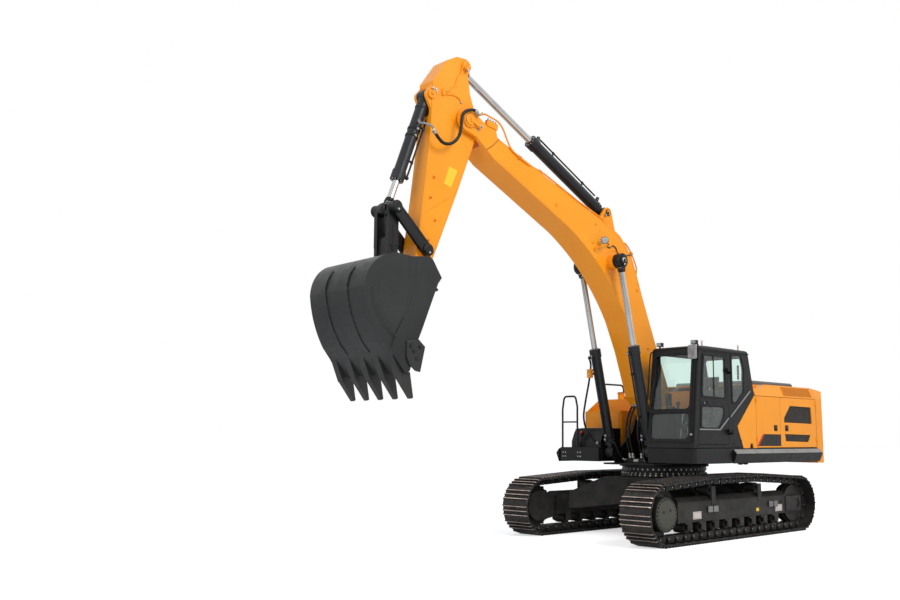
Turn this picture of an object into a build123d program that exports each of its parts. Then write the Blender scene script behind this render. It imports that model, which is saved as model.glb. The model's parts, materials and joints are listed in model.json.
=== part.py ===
"""Crawler excavator of the 35-tonne class with a backhoe bucket, in millimetres.

+X points forward along the boom, +Y to the cab's side and +Z up. Everything is laid out
about the swing axis at ground level. At the end the pieces are moved along X so that the
model's origin is the middle of the whole machine on the ground.
"""

import os
from math import atan2, cos, hypot, radians, sin

from build123d import *

# ---------------------------------------------------------------- undercarriage sizes
TRACK_GAUGE = 2590.0        # between the middles of the two tracks
WHEEL_BASE = 4000.0         # drive sprocket to idler
SHOE_WIDTH = 600.0
SHOE_COUNT = 48             # shoes on each track
SHOE_THICKNESS = 14.0
GROUSER_HEIGHT = 34.0       # three grousers stand on each shoe
GROUSER_TIP = 12.0
GROUSER_ROOT = 30.0
LINK_OUTSIDE = 62.0         # pin line to the shoe
LINK_INSIDE = 52.0          # pin line to the rail that the rollers run on
LINK_THICKNESS = 42.0
LINK_SPACING = 160.0        # between the middles of a track's two link rows
WHEEL_PITCH_RADIUS = 377.0  # the pin line's radius round sprocket and idler
TRACK_RISE = 72.0           # how far the carrier rollers lift the top run
CARRIER_FRONT_X = 640.0
CARRIER_REAR_X = -760.0
CARRIER_RADIUS = 78.0
ROLLER_RADIUS = 92.0
ROLLER_COUNT = 8
ROLLER_PITCH = 372.0
ROLLER_HALF_WIDTH = 105.0
ROLLER_AXLE = 150.0         # half the axle's length
SPROCKET_TEETH = 22
SPROCKET_WIDTH = 76.0
FINAL_DRIVE_RADIUS = 262.0
IDLER_FLANGE = 22.0
SEAT_GAP = 0.3              # between a running piece and the face it is seated on
TRACK_FRAME_WIDTH = 330.0
TRACK_FRAME_LOW = 330.0
TRACK_FRAME_SIDE_TOP = 640.0
TRACK_FRAME_RIDGE = 715.0
WHEEL_GAP = 12.0            # between wheels and what stands beside them

# ---------------------------------------------------------------- carbody and swing ring
CARBODY_TOP = 985.0
CARBODY_RADIUS = 690.0
CARBODY_FLOOR = 500.0
CARBODY_NOSE_X = 730.0      # front and rear faces between the legs
TOW_HOLE_X = 825.0
TOW_HOLE_RADIUS = 32.0
TOW_LUG_RADIUS = 78.0
TOW_LUG_Z = (545.0, 595.0)
RING_RADIUS = 762.0
RING_BORE = 560.0
RING_HEIGHT = 92.0

# ---------------------------------------------------------------- upper frame and body
CATWALK_REACH = 68.0        # from the deck's outer face
FLOOR_LOW = 1185.0          # underside of the upper frame
FLOOR_PLATE = 30.0
DECK_LOW = 1235.0
DECK_TOP = 1475.0
CATWALK_EDGE_Z = 1380.0     # outer corner of the catwalks, between their two bevels
CATWALK_LOW = 1222.0
CATWALK_REAR_X = -2900.0
DECK_FRONT_X = 1160.0
DECK_INNER_Y = 545.0
BODY_HALF_WIDTH = 1490.0    # outer faces of decks, doors, cab and counterweight
BODY_TOP = 2600.0
BODY_SHOULDER = 2385.0      # where the side panels end and the chamfer starts
SHOULDER_INSET = 95.0
PANEL = 28.0                # thickness of doors and body panels
SEAM = 8.0                  # gap between neighbouring panels
BODY_FRONT_X = -700.0
DOOR_SPLIT_X = -1515.0
BODY_REAR_X = -2826.0
COUNTERWEIGHT_FRONT_X = BODY_REAR_X - SEAM
COUNTERWEIGHT_DEPTH = 666.0
TAIL_RADIUS = COUNTERWEIGHT_DEPTH - COUNTERWEIGHT_FRONT_X
COUNTERWEIGHT_LOW = 1190.0
FOOT_PLATE_Y = 330.0        # inner face of the boom foot's bracket plates
FOOT_PLATE = 42.0
FOOT_OUT_Y = FOOT_PLATE_Y + FOOT_PLATE
DECK_BRACKETS_X = (-2300.0, -1300.0, -300.0, 700.0)

# ---------------------------------------------------------------- tanks, tool box and rails
TANK_INNER_Y = -560.0
TANK_OUTER_Y = -1440.0
TANK_FRONT_X = 520.0
TANK_STEP_X = 95.0
TANK_STEP_Z = 2130.0
TANK_TOP_Z = 2360.0
TANK_REAR_X = -640.0
TOOL_BOX_TOP = 1812.0
TOOL_BOX_FRONT_X = 1080.0
TOOL_BOX_OUTER_Y = -1250.0
RAIL_RADIUS = 17.0
EXHAUST_AT = (-2420.0, -860.0)
EXHAUST_RADIUS = 62.0
EXHAUST_HEIGHT = 300.0

# ---------------------------------------------------------------- cab
CAB_INNER_Y = 545.0
CAB_FLOOR_Z = 1483.0
CAB_FRONT_X = 1175.0
CAB_FRONT_LEAN = 195.0      # how far the windscreen's top stands back
CAB_TOP_Z = 3155.0
CAB_REAR_TOP_X = -480.0
CAB_HIP = (-655.0, 2388.0)   # rearmost corner of the cab's side
CAB_KNEE = (-95.0, 1842.0)
CAB_HEEL = (-262.0, 1483.0)
CAB_WALL = 46.0
CAB_DOOR_REAR_X = 165.0
GLASS = 8.0
GLASS_SEAL = 0.3
SEAT_HALF_WIDTH = 250.0
CONSOLE_GAP = 6.5           # between the consoles and the cab's walls
MIRROR_X = 1030.0

# ---------------------------------------------------------------- boom, arm and bucket pins, as (x, z)
BOOM_FOOT = (150.0, 2000.0)
BOOM_CYLINDER_FOOT = (940.0, 1396.0)
BOOM_CYLINDER_EYE = (1705.0, 4597.0)
ARM_CYLINDER_FOOT = (1640.0, 5495.0)
ARM_PIN = (4945.0, 6312.0)
ARM_CYLINDER_EYE = (4963.0, 7175.0)
BUCKET_CYLINDER_FOOT = (5594.0, 6558.0)
ROCKER_PIN = (5666.0, 4232.0)
LINK_PIN = (6224.0, 4759.0)
BUCKET_PIN = (5790.0, 3740.0)
BUCKET_LINK_PIN = (6215.0, 4000.0)

PIN_CLEARANCE = 0.5         # radial, at every pin that turns in its eye
FACE_GAP = 6.0              # beside every eye
BOOM_HALF_WIDTH = 240.0
ARM_HALF_WIDTH = 155.0
ARM_TIP_HALF_WIDTH = 165.0
BOOM_CYLINDER_Y = 435.0
BUCKET_HALF_WIDTH = 750.0
BUCKET_SIDE = 32.0
BUCKET_SHELL = 30.0
TOOTH_COUNT = 5
TOOTH_SPREAD = 1290.0       # between the outermost teeth


# ---------------------------------------------------------------- helpers
def side_plane(y=0.0):
    """Upright plane at y: its own axes are x and z, and extrusions go towards -y."""
    return Plane(origin=(0, y, 0), x_dir=(1, 0, 0), z_dir=(0, -1, 0))


def cross_plane(x=0.0):
    """Upright plane at x: its own axes are y and z, and extrusions go towards +x."""
    return Plane(origin=(x, 0, 0), x_dir=(0, 1, 0), z_dir=(1, 0, 0))


def side_outline(y, *corners):
    """Flat face at y through (x, z) corners."""
    with BuildSketch(side_plane(y)) as flat:
        with BuildLine():
            Polyline(*corners, close=True)
        make_face()
    return flat.sketch


def cross_outline(x, *corners):
    """Flat face at x through (y, z) corners."""
    with BuildSketch(cross_plane(x)) as flat:
        with BuildLine():
            Polyline(*corners, close=True)
        make_face()
    return flat.sketch


def plan_outline(z, *corners):
    """Flat face at height z through (x, y) corners."""
    with BuildSketch(Plane.XY.offset(z)) as flat:
        with BuildLine():
            Polyline(*corners, close=True)
        make_face()
    return flat.sketch


def hull_of(y, *circles):
    """Flat face at y around circles given as (x, z, radius)."""
    with BuildSketch(side_plane(y)) as flat:
        for x, z, radius in circles:
            with Locations((x, z)):
                Circle(radius)
        make_hull()
    return flat.sketch


def block(x, y, z, mode=Mode.ADD):
    """Box between the limits x, y and z."""
    with Locations(((x[0] + x[1]) / 2, (y[0] + y[1]) / 2, (z[0] + z[1]) / 2)):
        Box(abs(x[1] - x[0]), abs(y[1] - y[0]), abs(z[1] - z[0]), mode=mode)


def bar(at, radius, y, mode=Mode.ADD):
    """Round bar along Y through at = (x, z), between the limits y."""
    with Locations((at[0], (y[0] + y[1]) / 2, at[1])):
        Cylinder(radius, abs(y[1] - y[0]), rotation=(90, 0, 0), mode=mode)


def along(start, end, share=0.0, beside=0.0):
    """Point on the line between two (x, z) points, and beside it to the left."""
    dx, dz = end[0] - start[0], end[1] - start[1]
    length = hypot(dx, dz)
    return (
        start[0] + dx * share - dz / length * beside,
        start[1] + dz * share + dx / length * beside,
    )


# ---------------------------------------------------------------- tracks
HUB_Z = GROUSER_HEIGHT + SHOE_THICKNESS + LINK_OUTSIDE + WHEEL_PITCH_RADIUS
DRIVE_X = WHEEL_BASE / 2
IDLER_X = -WHEEL_BASE / 2
PIN_TOP_Z = HUB_Z + WHEEL_PITCH_RADIUS


def track_loop(offset):
    """The track's run at a distance outside its pin line, drawn flat as (x, height).

    Straight along the ground, round the idler, over the two carrier rollers and round the
    sprocket. The sloping stretches are tangent to the wheels.
    """
    radius = WHEEL_PITCH_RADIUS + offset
    high = PIN_TOP_Z + TRACK_RISE + offset
    rise = TRACK_RISE
    corners = []
    for wheel_x, carrier_x in ((IDLER_X, CARRIER_REAR_X), (DRIVE_X, CARRIER_FRONT_X)):
        run = carrier_x - wheel_x
        reach = hypot(run, WHEEL_PITCH_RADIUS + rise)
        slope = atan2(WHEEL_PITCH_RADIUS + rise, abs(run)) - atan2(
            WHEEL_PITCH_RADIUS, (reach**2 - WHEEL_PITCH_RADIUS**2) ** 0.5
        )
        side = 1 if run > 0 else -1
        corners.append(
            (
                (wheel_x - side * radius * sin(slope), HUB_Z + radius * cos(slope)),
                (wheel_x - side * radius, HUB_Z),
                (carrier_x, high),
            )
        )
    (rear_leave, rear_end, rear_high), (front_leave, front_end, front_high) = corners
    with BuildLine() as loop:
        Line((DRIVE_X, HUB_Z - radius), (IDLER_X, HUB_Z - radius))
        ThreePointArc((IDLER_X, HUB_Z - radius), rear_end, rear_leave)
        Line(rear_leave, rear_high)
        Line(rear_high, front_high)
        Line(front_high, front_leave)
        ThreePointArc(front_leave, front_end, (DRIVE_X, HUB_Z - radius))
    return loop.wire()


def shoe_corners(run, index):
    """One shoe's (x, z) corners along the run: three grousers with a gap to the next shoe."""
    pitch = run.length / SHOE_COUNT
    thirds = (0.16, 0.50, 0.84)
    corners = []
    for share in thirds:
        middle = share * pitch
        for along_run, height in (
            (middle - GROUSER_ROOT / 2, 0.0),
            (middle - GROUSER_TIP / 2, GROUSER_HEIGHT),
            (middle + GROUSER_TIP / 2, GROUSER_HEIGHT),
            (middle + GROUSER_ROOT / 2, 0.0),
        ):
            place = (index * pitch + along_run) / run.length
            point = run.position_at(place)
            heading = run.tangent_at(place)
            out = Vector(-heading.Y, heading.X)
            lifted = point + out * height
            corners.append((lifted.X, lifted.Y))
    return corners


def make_track(side):
    """Closed chain of triple-grouser shoes on two rows of links."""
    middle = side * TRACK_GAUGE / 2
    shoe_face = track_loop(LINK_OUTSIDE + SHOE_THICKNESS)
    outline = [c for i in range(SHOE_COUNT) for c in shoe_corners(shoe_face, i)]
    link_top = track_loop(LINK_OUTSIDE)
    rail = track_loop(-LINK_INSIDE)
    with BuildPart() as track:
        with BuildSketch(side_plane(middle)):
            with BuildLine():
                Polyline(*outline, close=True)
            make_face()
            with BuildLine():
                add(link_top)
            make_face(mode=Mode.SUBTRACT)
        extrude(amount=SHOE_WIDTH / 2, both=True)
        for row in (-1, 1):
            with BuildSketch(side_plane(middle + row * LINK_SPACING / 2)):
                with BuildLine():
                    add(link_top)
                make_face()
                with BuildLine():
                    add(rail)
                make_face(mode=Mode.SUBTRACT)
            extrude(amount=LINK_THICKNESS / 2, both=True)
    return track


track_left = make_track(1)
track_right = make_track(-1)


# ---------------------------------------------------------------- sprockets, idlers and rollers
def make_sprocket(side):
    """Toothed drive wheel between the link rows, with the final drive's cover outboard."""
    middle = side * TRACK_GAUGE / 2
    tooth_step = 360 / SPROCKET_TEETH
    root = WHEEL_PITCH_RADIUS - 34
    cover_out = middle + side * (TRACK_FRAME_WIDTH / 2 + 70)
    with BuildPart() as sprocket:
        bar((DRIVE_X, HUB_Z), root, (middle - SPROCKET_WIDTH / 2, middle + SPROCKET_WIDTH / 2))
        with BuildSketch(side_plane(middle)):
            with Locations((DRIVE_X, HUB_Z)):
                with PolarLocations(root, SPROCKET_TEETH, start_angle=tooth_step / 2):
                    Trapezoid(58, 60, 72, rotation=-90)
        extrude(amount=SPROCKET_WIDTH / 2 - 6, both=True)
        bar((DRIVE_X, HUB_Z), FINAL_DRIVE_RADIUS, (middle, cover_out))
        hub = SPROCKET_WIDTH / 2 + WHEEL_GAP - SEAT_GAP
        bar((DRIVE_X, HUB_Z), 180, (middle - side * hub, middle))
        fillet(
            sprocket.edges().filter_by(GeomType.CIRCLE).sort_by(Axis.Y)[-1 if side > 0 else 0], 24
        )
    return sprocket


def make_idler(side):
    """Plain guide wheel with a raised centre flange between the link rows."""
    middle = side * TRACK_GAUGE / 2
    rim = WHEEL_PITCH_RADIUS - LINK_INSIDE - SEAT_GAP
    half = LINK_SPACING / 2 + LINK_THICKNESS / 2
    with BuildPart() as idler:
        bar((IDLER_X, HUB_Z), rim, (middle - half, middle + half))
        bar((IDLER_X, HUB_Z), rim + IDLER_FLANGE, (middle - 46, middle + 46))
        bar((IDLER_X, HUB_Z), 96, (middle - half - 62, middle + half + 62))
    return idler


def make_rollers(side):
    """Track rollers under the frame and carrier rollers above it, each with its axle."""
    middle = side * TRACK_GAUGE / 2
    rail_low = HUB_Z - WHEEL_PITCH_RADIUS + LINK_INSIDE
    rail_high = PIN_TOP_Z + TRACK_RISE - LINK_INSIDE
    places = [
        ((i - (ROLLER_COUNT - 1) / 2) * ROLLER_PITCH, rail_low + SEAT_GAP + ROLLER_RADIUS, ROLLER_RADIUS)
        for i in range(ROLLER_COUNT)
    ]
    for x in (CARRIER_REAR_X, CARRIER_FRONT_X):
        places.append((x, rail_high - SEAT_GAP - CARRIER_RADIUS, CARRIER_RADIUS))
    with BuildPart() as rollers:
        for x, z, radius in places:
            bar((x, z), radius, (middle - ROLLER_HALF_WIDTH, middle + ROLLER_HALF_WIDTH))
            bar((x, z), radius * 0.4, (middle - ROLLER_AXLE, middle + ROLLER_AXLE))
    return rollers


def make_track_frame(side):
    """Roof-topped box beam with guards between rollers, carrier posts and the idler's yoke."""
    middle = side * TRACK_GAUGE / 2
    half = TRACK_FRAME_WIDTH / 2
    idler_reach = WHEEL_PITCH_RADIUS - LINK_INSIDE + IDLER_FLANGE
    front, rear = DRIVE_X - 430, IDLER_X + idler_reach + WHEEL_GAP
    section = (
        (middle - half, TRACK_FRAME_LOW),
        (middle + half, TRACK_FRAME_LOW),
        (middle + half, TRACK_FRAME_SIDE_TOP),
        (middle + half * 0.35, TRACK_FRAME_RIDGE),
        (middle - half * 0.35, TRACK_FRAME_RIDGE),
        (middle - half, TRACK_FRAME_SIDE_TOP),
    )
    axle = ROLLER_AXLE + PIN_CLEARANCE
    with BuildPart() as frame:
        extrude(cross_outline(rear, *section), amount=front - rear)
        # cheeks beside the rollers, stopping above the links
        for y in (-1, 1):
            inner, outer = middle + y * (ROLLER_AXLE + SEAT_GAP), middle + y * (half + 6)
            low = HUB_Z - WHEEL_PITCH_RADIUS + LINK_INSIDE + 40
            for i in range(ROLLER_COUNT):
                x = (i - (ROLLER_COUNT - 1) / 2) * ROLLER_PITCH
                block((x - 62, x + 62), (inner, outer), (low, TRACK_FRAME_LOW + 20))
        # room for the rollers under the beam
        block(
            (rear + 40, front - 40),
            (middle - axle, middle + axle),
            (TRACK_FRAME_LOW - 1, TRACK_FRAME_LOW + 40),
            mode=Mode.SUBTRACT,
        )
        # posts that carry the carrier rollers on their inboard side
        for x in (CARRIER_REAR_X, CARRIER_FRONT_X):
            post = middle + side * 150
            block((x - 55, x + 55), (post, post + side * 26), (TRACK_FRAME_SIDE_TOP - 60, 870))
            block((x - 55, x + 55), (middle - side * half, middle - side * 150), (600, 870))
        # yoke round the idler, and the plate that carries the final drive
        for y in (-1, 1):
            inner, outer = middle + y * 146, middle + y * (half + 16)
            block((IDLER_X - 150, rear + 20), (inner, outer), (HUB_Z - 130, HUB_Z + 130))
        extrude(
            hull_of(
                middle - side * (SPROCKET_WIDTH / 2 + WHEEL_GAP),
                (DRIVE_X, HUB_Z, 250),
                (front + 40, HUB_Z, 200),
            ),
            amount=side * 70,
        )
        block(
            (front - 20, DRIVE_X - WHEEL_PITCH_RADIUS - WHEEL_GAP),
            (middle - half, middle + half),
            (HUB_Z - 160, HUB_Z + 160),
        )
        bar((IDLER_X, HUB_Z), 96 + PIN_CLEARANCE, (middle - 400, middle + 400), Mode.SUBTRACT)
    return frame


sprocket_left = make_sprocket(1)
sprocket_right = make_sprocket(-1)
idler_left = make_idler(1)
idler_right = make_idler(-1)
rollers_left = make_rollers(1)
rollers_right = make_rollers(-1)
track_frame_left = make_track_frame(1)
track_frame_right = make_track_frame(-1)


# ---------------------------------------------------------------- carbody and swing ring
LEG_ROOT_Y = 610.0          # where the four legs are welded to the centre box


def make_leg_cross():
    """The X of the centre box and its four arched legs, as one form to divide."""
    frame_face = TRACK_GAUGE / 2 - TRACK_FRAME_WIDTH / 2
    low, top = CARBODY_FLOOR - 80, CARBODY_TOP - 15
    quarter = (
        (CARBODY_NOSE_X, 260),
        (1290, frame_face),
        (620, frame_face),
        (330, LEG_ROOT_Y),
    )
    ring = [(x, y) for x, y in quarter]
    ring += [(-x, y) for x, y in reversed(quarter)]
    ring += [(-x, -y) for x, y in quarter]
    ring += [(x, -y) for x, y in reversed(quarter)]
    with BuildPart() as cross:
        extrude(plan_outline(low, *ring), amount=top - low)
        for side in (-1, 1):
            extrude(
                cross_outline(
                    -1400,
                    (side * 600, top + 1),
                    (side * (frame_face + 1), top + 1),
                    (side * (frame_face + 1), TRACK_FRAME_SIDE_TOP + 60),
                ),
                amount=2800,
                mode=Mode.SUBTRACT,
            )
            extrude(
                cross_outline(
                    -1400,
                    (0, low - 1),
                    (side * frame_face, low - 1),
                    (side * (frame_face - 130), low),
                    (side * 420, CARBODY_FLOOR),
                    (0, CARBODY_FLOOR),
                ),
                amount=2800,
                mode=Mode.SUBTRACT,
            )
    return cross


def make_carbody_legs(cross):
    """Four arched legs from the centre box and drum to the track frames."""
    with BuildPart() as legs:
        add(cross.part)
        with Locations((0, 0, CARBODY_FLOOR)):
            Box(4 * CARBODY_RADIUS, 2 * LEG_ROOT_Y, CARBODY_TOP, mode=Mode.SUBTRACT)
            Cylinder(CARBODY_RADIUS, CARBODY_TOP, mode=Mode.SUBTRACT)
    return legs


def make_carbody(cross, legs):
    """Centre box with the drum that carries the swing bearing, and the towing lugs."""
    with BuildPart() as carbody:
        add(cross.part)
        add(legs.part, mode=Mode.SUBTRACT)
        with Locations((0, 0, (CARBODY_FLOOR + CARBODY_TOP) / 2)):
            Cylinder(CARBODY_RADIUS, CARBODY_TOP - CARBODY_FLOOR)
            Cylinder(RING_BORE - 90, CARBODY_TOP - CARBODY_FLOOR + 2, mode=Mode.SUBTRACT)
        # towing lugs with an upright hole in front and behind
        for end in (-1, 1):
            block(
                (end * (CARBODY_NOSE_X - 20), end * TOW_HOLE_X),
                (-TOW_LUG_RADIUS, TOW_LUG_RADIUS),
                TOW_LUG_Z,
            )
            with Locations((end * TOW_HOLE_X, 0, sum(TOW_LUG_Z) / 2)):
                Cylinder(TOW_LUG_RADIUS, TOW_LUG_Z[1] - TOW_LUG_Z[0])
                Cylinder(TOW_HOLE_RADIUS, TOW_LUG_Z[1] - TOW_LUG_Z[0] + 2, mode=Mode.SUBTRACT)
    return carbody


def make_slewing_ring():
    """Bolted lower half of the swing bearing, standing on the carbody."""
    with BuildPart() as ring:
        with BuildSketch(Plane.XY.offset(CARBODY_TOP)):
            Circle(RING_RADIUS)
            Circle(RING_BORE, mode=Mode.SUBTRACT)
        extrude(amount=RING_HEIGHT * 0.45)
        with BuildSketch(Plane.XY.offset(CARBODY_TOP + RING_HEIGHT * 0.45)):
            Circle(RING_RADIUS - 34)
            Circle(RING_BORE, mode=Mode.SUBTRACT)
        extrude(amount=RING_HEIGHT * 0.55)
    return ring


leg_cross = make_leg_cross()
carbody_legs = make_carbody_legs(leg_cross)
carbody = make_carbody(leg_cross, carbody_legs)
slewing_ring = make_slewing_ring()


# ---------------------------------------------------------------- upper frame
RING_TOP = CARBODY_TOP + RING_HEIGHT + SEAT_GAP


def make_house_frame():
    """Centre section: floor, the boom foot's two plates with its pins, and the ring's top half."""
    foot_x, foot_z = BOOM_FOOT
    cylinder_x, cylinder_z = BOOM_CYLINDER_FOOT
    plate = (
        (-2650, FLOOR_LOW + FLOOR_PLATE),
        (cylinder_x - 20, FLOOR_LOW + FLOOR_PLATE),
        (cylinder_x + 112, cylinder_z - 60),
        (cylinder_x + 90, cylinder_z + 70),
        (cylinder_x - 40, cylinder_z + 100),
        (cylinder_x - 160, cylinder_z + 100),
        (foot_x + 330, foot_z - 260),
        (foot_x + 170, foot_z + 110),
        (foot_x, foot_z + 190),
        (foot_x - 170, foot_z + 110),
        (foot_x - 420, foot_z - 330),
        (-900, 1560),
        (-2650, 1400),
    )
    with BuildPart() as frame:
        block((BODY_REAR_X, 1010), (-560, 560), (FLOOR_LOW, FLOOR_LOW + FLOOR_PLATE))
        for side in (-1, 1):
            y = FOOT_OUT_Y if side > 0 else -FOOT_PLATE_Y
            extrude(side_outline(y, *plate), amount=FOOT_PLATE)
        block((-330, -290), (-FOOT_PLATE_Y, FOOT_PLATE_Y), (FLOOR_LOW + FLOOR_PLATE, 1560))
        block((-1200, -1160), (-FOOT_PLATE_Y, FOOT_PLATE_Y), (FLOOR_LOW + FLOOR_PLATE, 1500))
        bar(BOOM_FOOT, 62, (-FOOT_OUT_Y - 26, FOOT_OUT_Y + 26))
        for side in (-1, 1):
            bar(
                BOOM_CYLINDER_FOOT,
                52,
                (side * FOOT_PLATE_Y, side * (BOOM_CYLINDER_Y + 72)),
            )
            bar(
                BOOM_CYLINDER_FOOT,
                74,
                (side * (BOOM_CYLINDER_Y + 60 + 1), side * (BOOM_CYLINDER_Y + 76)),
            )
        with BuildSketch(Plane.XY.offset(RING_TOP)):
            Circle(RING_RADIUS - 18)
            Circle(RING_BORE, mode=Mode.SUBTRACT)
        extrude(amount=FLOOR_LOW - RING_TOP)
    return frame


def make_deck(side):
    """Box-section side frame beside the centre section, and the brackets that carry it."""
    outer, inner = side * BODY_HALF_WIDTH, side * DECK_INNER_Y
    with BuildPart() as deck:
        block((BODY_REAR_X, DECK_FRONT_X), (inner, outer), (DECK_LOW, DECK_TOP))
        nose = deck.edges().filter_by(Axis.Z).group_by(Axis.X)[-1].sort_by(Axis.Y)
        fillet(nose[-1 if side > 0 else 0], 60)
        for x in DECK_BRACKETS_X:
            block(
                (x - 30, x + 30),
                (side * FOOT_OUT_Y, inner),
                (FLOOR_LOW + FLOOR_PLATE, DECK_LOW + 90),
            )
    return deck


def make_catwalk(side, front_x):
    """Step along a deck's outer face: bevelled above to a tread and undercut below."""
    wall = side * BODY_HALF_WIDTH
    edge = wall + side * CATWALK_REACH
    with BuildPart() as catwalk:
        extrude(
            cross_outline(
                CATWALK_REAR_X,
                (wall, CATWALK_LOW),
                (wall, DECK_TOP - 18),
                (edge, CATWALK_EDGE_Z),
                (edge, CATWALK_EDGE_Z - 20),
                (wall + side * 6, CATWALK_LOW),
            ),
            amount=front_x - CATWALK_REAR_X,
        )
    return catwalk


def make_counterweight():
    """Cast tail weight: drum-shaped behind, rounded at its rear edge above and below."""
    corner_y = BODY_HALF_WIDTH - 70
    corner_x = -((TAIL_RADIUS**2 - corner_y**2) ** 0.5)
    side_end_x = corner_x + 130
    seat_x = COUNTERWEIGHT_FRONT_X
    tail_x = -TAIL_RADIUS
    with BuildPart() as weight:
        with BuildSketch(Plane.XY.offset(COUNTERWEIGHT_LOW)):
            with BuildLine():
                Line((seat_x, -BODY_HALF_WIDTH), (side_end_x, -BODY_HALF_WIDTH))
                Line((side_end_x, -BODY_HALF_WIDTH), (corner_x, -corner_y))
                ThreePointArc((corner_x, -corner_y), (tail_x, 0), (corner_x, corner_y))
                Line((corner_x, corner_y), (side_end_x, BODY_HALF_WIDTH))
                Line((side_end_x, BODY_HALF_WIDTH), (seat_x, BODY_HALF_WIDTH))
                Line((seat_x, BODY_HALF_WIDTH), (seat_x, -BODY_HALF_WIDTH))
            make_face()
        extrude(amount=BODY_TOP - COUNTERWEIGHT_LOW)
        with BuildSketch(side_plane()):
            with BuildLine():
                Line((seat_x, COUNTERWEIGHT_LOW), (tail_x + 170, COUNTERWEIGHT_LOW))
                Line((tail_x + 170, COUNTERWEIGHT_LOW), (tail_x, COUNTERWEIGHT_LOW + 190))
                Line((tail_x, COUNTERWEIGHT_LOW + 190), (tail_x + 70, BODY_TOP - 400))
                ThreePointArc(
                    (tail_x + 70, BODY_TOP - 400),
                    (tail_x + 170, BODY_TOP - 160),
                    (tail_x + 390, BODY_TOP - 40),
                )
                Line((tail_x + 390, BODY_TOP - 40), (seat_x, BODY_TOP - 8))
                Line((seat_x, BODY_TOP - 8), (seat_x, COUNTERWEIGHT_LOW))
            make_face()
        extrude(amount=BODY_HALF_WIDTH + 1, both=True, mode=Mode.INTERSECT)
        for side in (-1, 1):
            extrude(
                cross_outline(
                    tail_x - 1,
                    (side * (BODY_HALF_WIDTH + 1), BODY_SHOULDER),
                    (side * (BODY_HALF_WIDTH + 1), BODY_TOP + 1),
                    (side * (BODY_HALF_WIDTH - SHOULDER_INSET), BODY_TOP + 1),
                ),
                amount=1000,
                mode=Mode.SUBTRACT,
            )
    return weight


house_frame = make_house_frame()
deck_left = make_deck(1)
deck_right = make_deck(-1)
catwalk_left = make_catwalk(1, 60)
catwalk_right = make_catwalk(-1, DECK_FRONT_X)
counterweight = make_counterweight()

# ---------------------------------------------------------------- engine bay
ENGINE_X = (-2640.0, -1850.0)
ENGINE_Y = (-620.0, 700.0)
ENGINE_Z = (1490.0, 2140.0)
HOOD_X = (-2660.0, -1180.0)
HOOD_Y = (-560.0, 1100.0)
HOOD_HEIGHT = 88.0
HOOD_RIM = 20.0             # how far the hood reaches past the roof's opening
POST = 46.0
HOSE_GATE_TOP = 1610.0      # opening under the bulkhead for the hoses to the boom
ROOF_STEP_Z = 2510.0        # the roof's lowered front corner behind the cab
HOOD_HINGE = (HOOD_X[0] - HOOD_RIM - 14, BODY_TOP + 12)
HOOD_HINGES_Y = (-300.0, 700.0)
HINGE_RADIUS = 9.5
HINGE_PIN = 6.0
HINGE_STAND = 10.0          # from a door's outer face to its hinge pin
HINGE_LENGTH = 90.0
DOOR_HINGES_Z = (1570.0, 2250.0)


def make_engine_block():
    """Engine and pump as one plain block, standing on two rails of the centre section."""
    with BuildPart() as engine:
        block(ENGINE_X, ENGINE_Y, ENGINE_Z)
        for side in (-1, 1):
            block(
                ENGINE_X,
                (side * (FOOT_PLATE_Y - 30), side * (FOOT_PLATE_Y - 110)),
                (FLOOR_LOW + FLOOR_PLATE, ENGINE_Z[0]),
            )
    return engine


def fixed_hinges(pin_x, post_x, side):
    """A side door's hinge halves: strap from the post through the seam, knuckle and pin."""
    pin_y = side * (BODY_HALF_WIDTH + HINGE_STAND)
    inside = side * (BODY_HALF_WIDTH - PANEL - 42)
    for z in DOOR_HINGES_Z:
        with Locations((pin_x, pin_y, z + HINGE_LENGTH / 6)):
            Cylinder(HINGE_RADIUS, HINGE_LENGTH / 3)
        with Locations((pin_x, pin_y, z + HINGE_LENGTH / 2)):
            Cylinder(HINGE_PIN, HINGE_LENGTH)
        block((pin_x - 3, pin_x + 3), (inside, pin_y), (z, z + HINGE_LENGTH / 3))
        block((pin_x, post_x), (inside, inside + side * 12), (z, z + HINGE_LENGTH / 3))


def door_hinges(pin_x, leaf_x, side):
    """A side door's own hinge halves: bored knuckle and the leaf on its outer face."""
    pin_y = side * (BODY_HALF_WIDTH + HINGE_STAND)
    face_y = side * BODY_HALF_WIDTH
    for z in DOOR_HINGES_Z:
        low, high = z + HINGE_LENGTH / 3 + 1, z + HINGE_LENGTH
        block((pin_x, leaf_x), (face_y, face_y + side * 6), (low, high))
        with Locations((pin_x, pin_y, (low + high) / 2)):
            Cylinder(HINGE_RADIUS, high - low)
            Cylinder(HINGE_PIN + PIN_CLEARANCE, high - low + 4, mode=Mode.SUBTRACT)


LEFT_FRONT_HINGE_X = BODY_FRONT_X - SEAM / 2
REAR_HINGE_X = BODY_REAR_X


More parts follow.
